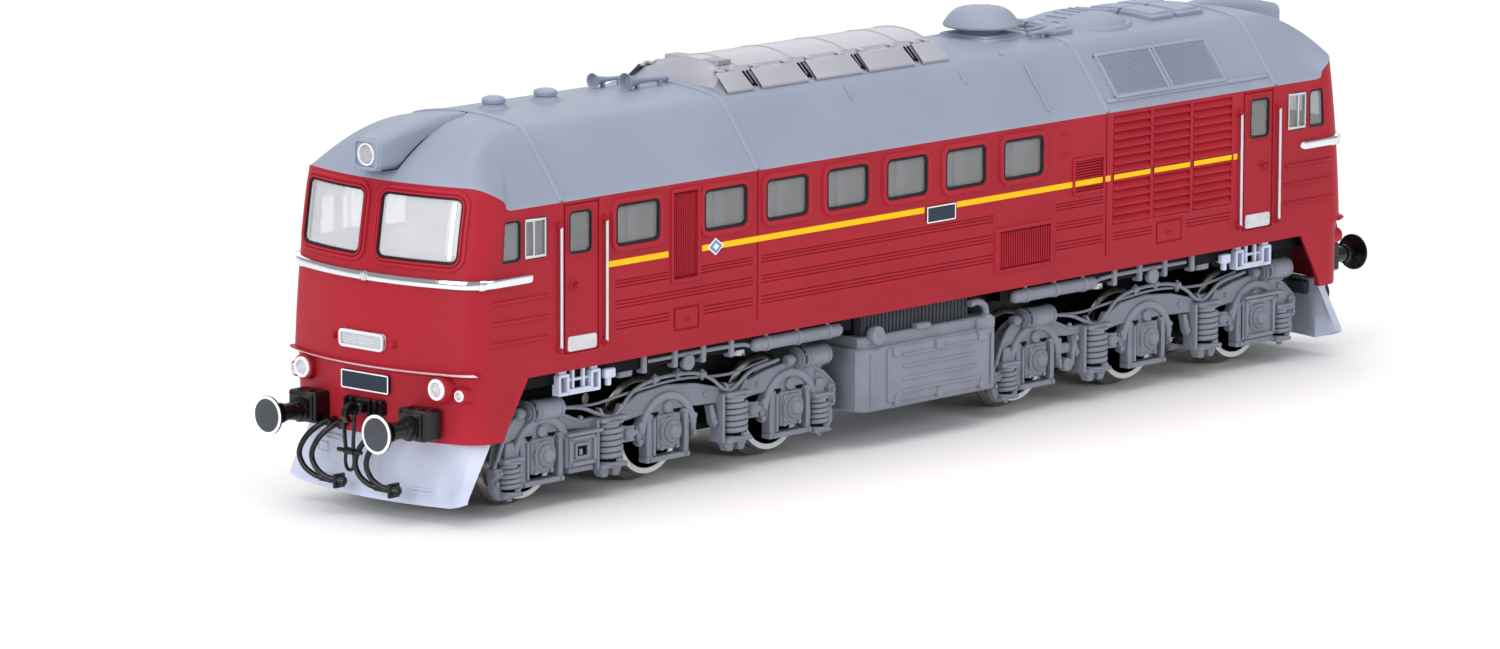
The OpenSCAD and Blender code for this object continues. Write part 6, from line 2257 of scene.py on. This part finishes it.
@dataclass
class EndGear:
    """The buffers, drawhook, hoses and snowplough of each end."""

    form: BodyForm
    buffer_x: float = 10.0
    buffer_z: float = 13.2
    face_y: float = field(default_factory=lambda: box_of("buffers")[1][1])
    hose_r: float = 0.38
    hoses: tuple[tuple[float, float, float, bool], ...] = (
        (6.1, 9.4, 5.6, False), (4.0, 7.1, 3.4, True), (-3.5, -0.9, -4.4, False), (-5.5, -2.9, -6.6, True)
    )

    def build_buffers(self) -> None:
        """Makes the buffer boxes, the sleeves, plungers and round faces with a white edge."""
        f = self.form
        boxes, discs = Mould(), Mould()
        x, z, y = self.buffer_x, self.buffer_z, self.face_y
        back = f.nose - f.lean(13) - 1.2
        boxes.block((x - 2.45, x + 2.45), (back, f.nose + 1.2), (11.55, 15.6), 0.22)
        boxes.block((x - 2.0, x + 2.0), (back + 1.0, f.nose + 1.45), (11.95, 15.2), 0.15)
        for dx in (-1.9, 1.9):
            for dz in (-1.6, 1.6):
                boxes.turned((x + dx, f.nose + 1.1, z + 0.4 + dz), (0, 1, 0),
                             [(0, 0.3), (0.2, 0.3), (0.32, 0.18)], 8)
        boxes.turned((x, f.nose + 1.2, z), (0, 1, 0), [
            (0, 1.7), (0.5, 1.65), (0.6, 1.3), (1.6, 1.25), (1.65, 1.15), (3.6, 1.15), (3.65, 1.35),
            (4.1, 1.35),
            (4.2, 1.0), (4.25, 0.85)
        ], 28)
        boxes.rod((x, f.nose + 3.0, z), (x, y - 0.6, z), 0.78, 20)
        for dx in (-1.0, 1.0):
            boxes.rod((x + dx, f.nose - 0.4, z + 2.3), (x + dx, f.nose + 1.0, z + 2.3), 0.28, 10)
        discs.turned((x, y - 0.95, z), (0, 1, 0), [
            (0, 0.8), (0.2, 1.2), (0.4, 2.3), (0.5, 2.58), (0.72, 2.62), (0.8, 2.6)
        ], 48, 2)
        discs.turned((x, y - 0.25, z), (0, 1, 0), [(0, 2.6), (0.13, 2.58), (0.16, 2.5), (0.17, 2.2)], 48, 1)
        discs.turned((x, y - 0.2, z), (0, 1, 0), [(0, 2.2), (0.12, 2.2), (0.17, 1.6), (0.2, 0.8),
            (0.2, 0.02)], 48, 0)
        for mould in (boxes, discs):
            mould.both_sides()
            mould.both_ends()
        boxes.piece("buffer_boxes", [BLACK], replaces=["buffer_housings"], slot="black_plastic")
        discs.piece("buffer_discs", [BUFFER_FACE, WHITE, BLACK], replaces=["buffers"], slot="black_plastic")

    def build_hooks(self) -> None:
        """Makes the ribbed hook block with its hook and hanging shackle."""
        f = self.form
        mould = Mould()
        y = f.nose - f.lean(14)
        mould.block((-3.5, 3.5), (y - 1.5, y + 1.0), (13.7, 15.7), 0.25)
        for x in (-2.7, -1.6, 1.6, 2.7):
            mould.block((x - 0.25, x + 0.25), (y + 0.6, y + 1.5), (13.5, 15.8), 0.12)
        mould.block((-1.0, 1.0), (y, y + 2.3), (13.9, 15.3), 0.25)
        hook = [(y + 2.0, 15.3), (y + 3.4, 15.5), (y + 4.3, 14.9), (y + 4.5, 13.8), (y + 3.9, 12.9),
                (y + 3.0, 12.8),
                (y + 3.3, 13.5), (y + 3.6, 14.0), (y + 3.2, 14.4), (y + 2.0, 14.1)]
        mould.prism(hook, Axis.X, -0.42, 0.42, 0.12)
        for x in (-0.85, 0.85):
            mould.tube(spline([(x, y + 3.2, 14.2), (x * 1.1, y + 3.3, 12.6), (x * 0.9, y + 3.3, 10.6),
                               (x * 0.8, y + 3.2, 9.2)], 4), 0.27, 8)
        mould.rod((-1.3, y + 3.2, 14.2), (1.3, y + 3.2, 14.2), 0.34, 12)
        mould.rod((-2.2, y + 3.2, 9.1), (2.2, y + 3.2, 9.1), 0.3, 12)
        mould.rod((-0.9, y + 3.2, 9.1), (0.9, y + 3.2, 9.1), 0.48, 12)
        mould.tube(spline([(-0.7, y + 3.2, 9.1), (-0.8, y + 3.2, 7.6), (-0.4, y + 3.2, 6.7),
                           (0.4, y + 3.2, 6.7),
                           (0.8, y + 3.2, 7.6), (0.7, y + 3.2, 9.1)], 5), 0.25, 8)
        mould.both_ends()
        mould.piece("draw_hooks", [BLACK], replaces=["coupling_hooks"], slot="black_plastic")

    def hose(self, mould: Mould, top: float, bulge: float, foot: float, fat: bool) -> None:
        """One rigid moulded brake hose on the front at +Y.

        Args:
            mould: Where its faces go.
            top: X where it leaves the apron.
            bulge: X of its widest part.
            foot: X of its head.
            fat: Whether it ends in a thick head.
        """
        y = self.form.nose - 1.0
        r = self.hose_r
        mould.turned((top, y - 0.2, 12.1), (0, 1, -0.25), [
            (0, r * 1.3), (0.7, r * 1.35), (0.9, r * 1.7), (1.5, r * 1.7), (1.6, r)
        ], 14)
        path = spline([
            (top, y + 0.8, 12.0), (top + (bulge - top) * 0.25, y + 1.9, 11.5),
            (top + (bulge - top) * 0.7, y + 2.9, 9.9),
            (bulge, y + 3.2, 7.8), (bulge + (foot - bulge) * 0.2, y + 3.1, 6.0),
            (bulge + (foot - bulge) * 0.6, y + 2.6, 4.9), (foot, y + 2.0, 4.6)
        ], 7)
        mould.tube(path, r, 12)
        end = path[-1]
        way = Vector(path[-1]) - Vector(path[-3])
        size = 1.75 if fat else 1.35
        mould.turned(end, tuple(way), [
            (-0.9, r), (-0.85, r * 1.4), (-0.3, r * 1.4), (-0.2, r * size), (0.6, r * size * 1.05),
            (0.9, r * size), (1.15, r * 0.7), (1.2, 0.02)
        ], 14)
        if fat:
            mould.block((end[0] - 0.25, end[0] + 0.25), (end[1] - 1.1, end[1] + 0.9),
                        (end[2] - 1.0, end[2] + 0.9), 0.12)

    def build_hoses(self) -> None:
        """Makes the four brake hoses of each end."""
        mould = Mould()
        for top, bulge, foot, fat in self.hoses:
            self.hose(mould, top, bulge, foot, fat)
        mould.both_ends()
        mould.piece("brake_hose_mouldings", [BLACK], replaces=["brake_hoses"], slot="black_plastic")

    def build_ploughs(self) -> None:
        """Makes the light grey snowploughs with their folded sides, slots and stays."""
        f = self.form
        mould = Mould()
        face = f.nose - 2.2

        def at(x: float, z: float, d: float) -> Vec3:
            """A place on the bowed blade, d out of its face."""
            bow = f.front_r + 4 - math.sqrt((f.front_r + 4) ** 2 - x * x)
            return (x, face - bow + d + (10.9 - z) * 0.05, z)

        xs = spread(-12.5, 12.5, 0.9)
        zs = spread(2.3, 10.9, 0.7)
        front = [[at(x, z, 0.0) for x in xs] for z in zs]
        mould.loft(front, closed=False)
        mould.loft([[at(x, z, -0.9) for x in xs] for z in zs], closed=False)
        for z in (zs[0], zs[-1]):
            mould.loft([[at(x, z, 0.0) for x in xs], [at(x, z, -0.9) for x in xs]], closed=False)
        for way in (-1, 1):
            corner = [at(way * 12.5, z, 0.0) for z in zs]
            wing = [
                (way * 16.3, min(f.nose - 2.9, f.nose - 7.3 + (10.9 - z) * 0.62), max(z, 3.4)) for z in zs
            ]
            fold = Vector((way * 0.35, 0.35, 0))
            mid_row = [tuple((Vector(a) + Vector(b)) * 0.5 + fold) for a, b in zip(corner, wing)]
            back = [(x - way * 0.8, y - 0.5, z) for x, y, z in wing]
            mould.loft([corner, mid_row, wing, back], closed=False)
            mould.loft([[at(way * 12.5, z, -0.9) for z in zs],
                        [(x - way * 0.5, y - 0.7, z) for x, y, z in mid_row], back], closed=False)
        for x0, x1, z0, z1 in ((6.2, 9.6, 8.9, 9.7), (6.0, 10.2, 3.6, 4.3), (-10.2, -6.6, 3.9, 4.6)):
            shape = round_rect(x0, x1, z0, z1, 0.3)
            steps = ((0.0, -0.1), (0.0, 0.25), (0.12, 0.3), (0.28, 0.05), (0.3, -0.1))
            mould.loft([[at(x, z, d) for x, z in inset(shape, k)] for k, d in steps])
        shape = round_rect(9.4, 11.6, 7.0, 8.2, 0.15)
        steps = ((-0.15, 0.0), (-0.1, 0.16), (0.1, 0.16), (0.2, -0.2))
        mould.loft([[at(x, z, d) for x, z in inset(shape, k)] for k, d in steps])
        for x in (-7.5, 7.5):
            mould.block((x - 0.7, x + 0.7), (face - 6.2, face - 2.0), (9.2, 15.6), 0.25, 1)
            mould.block((x - 0.5, x + 0.5), (face - 6.0, face - 2.4), (4.2, 9.6), 0.2, 1)
        mould.block((-11.5, 11.5), (face - 3.4, face - 2.4), (8.6, 10.6), 0.2, 1)
        inner = [(84.2, 18.6), (84.2, 16.4), (85.6, 15.8), (86.6, 12.6), (87.6, 11.3), (88.6, 11.3),
                 (88.6, 18.6)]
        for side in (-1, 1):
            mould.prism(inner, Axis.X, side * 14.2 - 0.3, side * 14.2 + 0.3, 0.12, 1)
        mould.both_ends()
        mould.piece("snow_ploughs", [LIGHT_GREY, DARK_GREY], replaces=["ploughs"], slot="light_grey",
                    sharp=26)

    def build(self) -> None:
        """Builds everything at both ends."""
        self.build_buffers()
        self.build_hooks()
        self.build_hoses()
        self.build_ploughs()


# ---- camera, floor and light
@dataclass(frozen=True)
class Studio:
    """The camera, a pale floor and soft light round the model."""

    azimuth: float = 42.395
    elevation: float = 9.79
    roll: float = 0.208
    distance: float = 1166.65
    target: Vec3 = (0.0, -18.568, 16.122)
    lens: float = 205.7

    def add_camera(self) -> None:
        """Makes the camera."""
        a, e, r = (math.radians(v) for v in (self.azimuth, self.elevation, self.roll))
        back = Vector((math.sin(a) * math.cos(e), -math.cos(a) * math.cos(e), math.sin(e)))
        right = (-back).cross(Vector((0, 0, 1))).normalized()
        up = right.cross(-back)
        across = right * math.cos(r) + up * math.sin(r)
        upward = up * math.cos(r) - right * math.sin(r)
        camera = bpy.data.objects.new("camera", bpy.data.cameras.new("camera"))
        camera.matrix_world = Matrix.Translation((Vector(self.target) + back * self.distance) * MM) @ Matrix(
            (across, upward, back)
        ).transposed().to_4x4()
        camera.data.lens = self.lens
        camera.data.sensor_width = 36.0
        camera.data.clip_start = 0.05
        bpy.context.scene.collection.objects.link(camera)
        bpy.context.scene.camera = camera

    def add_floor(self) -> None:
        """Makes a pale floor that runs far beyond the view."""
        mesh = bpy.data.meshes.new("floor")
        size = 6.0
        mesh.from_pydata([(-size, -size, 0), (size, -size, 0), (size, size, 0), (-size, size, 0)], [],
                         [(0, 1, 2, 3)])
        floor = bpy.data.objects.new("floor", mesh)
        bpy.context.scene.collection.objects.link(floor)
        pale = bpy.data.materials.new("pale_floor")
        nodes = Nodes(pale)
        nodes.link(nodes.ramp(nodes.noise(90, 3), [0.95, 0.95, 0.95], [0.97, 0.97, 0.97]), "Base Color")
        nodes.set(Roughness=0.8)
        mesh.materials.append(pale)

    def add_light(self, name: str, place: Vec3, size: Vec2, power: float, aim: Vec3 = (0, 0, 0.02)) -> None:
        """Makes a soft panel of light.

        Args:
            name: Name of the light.
            place: Where it stands, in metres.
            size: Width and height, in metres.
            power: Its power in watts.
            aim: The point that it faces, in metres.
        """
        light = bpy.data.lights.new(name, "AREA")
        light.shape = "RECTANGLE"
        light.size, light.size_y = size
        light.energy = power
        lamp = bpy.data.objects.new(name, light)
        lamp.location = place
        lamp.rotation_euler = (Vector(aim) - Vector(place)).to_track_quat("-Z", "Y").to_euler()
        bpy.context.scene.collection.objects.link(lamp)

    def build(self) -> None:
        """Sets up everything round the model."""
        self.add_camera()
        self.add_floor()
        self.add_light("top_light", (0.0, -0.05, 0.9), (1.2, 1.4), 8.5)
        self.add_light("side_light", (1.1, 0.1, 0.45), (0.9, 0.6), 3.6)
        self.add_light("front_light", (0.15, -1.2, 0.4), (0.8, 0.6), 6.6)
        self.add_light("back_light", (-1.0, 0.9, 0.6), (1.0, 0.8), 2.9)
        world = bpy.data.worlds.new("studio_world")
        bpy.context.scene.world = world
        world.use_nodes = True
        world.node_tree.nodes["Background"].inputs["Color"].default_value = (0.95, 0.97, 1.0, 1.0)
        world.node_tree.nodes["Background"].inputs["Strength"].default_value = 0.39
        bpy.context.scene.view_settings.view_transform = "Standard"


# ---- working parts kept from the frame
@dataclass(frozen=True)
class Mechanism:
    """The CAD nodes that keep their shape and get a real finish."""

    finishes: tuple[tuple[str, Finish], ...] = (
        ("cab_interiors", INTERIOR), ("engine_room_insert", ENGINE_GREY), ("circuit_board", BOARD_GREEN),
        ("loudspeaker", BLACK), ("chassis_frame", CHASSIS), ("chassis_screws", STEEL),
        ("motor_case", STEEL), ("motor_shaft", STEEL), ("flywheels", BRASS), ("worm", BRASS),
        ("cardan", SHAFT_BLACK), ("keeper_plate", SHAFT_BLACK), ("gearbox", CHASSIS),
        ("worm_wheel", ACETAL), ("outer_idler", ACETAL), ("inner_idler", ACETAL),
        ("pickup_shoe", SHOE_STEEL),
    )

    def build(self) -> None:
        """Gives every kept node the finish of the longest name that it begins with."""
        for name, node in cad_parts.items():
            fits = [pair for pair in self.finishes if name.startswith(pair[0])]
            if not fits:
                continue
            finish = max(fits, key=lambda pair: len(pair[0]))[1]
            node.data.materials.clear()
            node.data.materials.append(finish.material())
            node.data.set_sharp_from_angle(angle=math.radians(30))
            LOG.info("%s: %s", name, finish.name)


PARTS: tuple[type, ...] = (Shell, Roof, Underframe, EndGear, Wheels, Bogie, RearBogie)


def main() -> None:
    """Builds the whole scene."""
    logging.basicConfig(level=logging.INFO, format="%(name)s %(message)s")
    Studio().build()
    form = BodyForm()
    Mechanism().build()
    for part in PARTS:
        part(form).build()


if __name__ == "__main__":
    main()
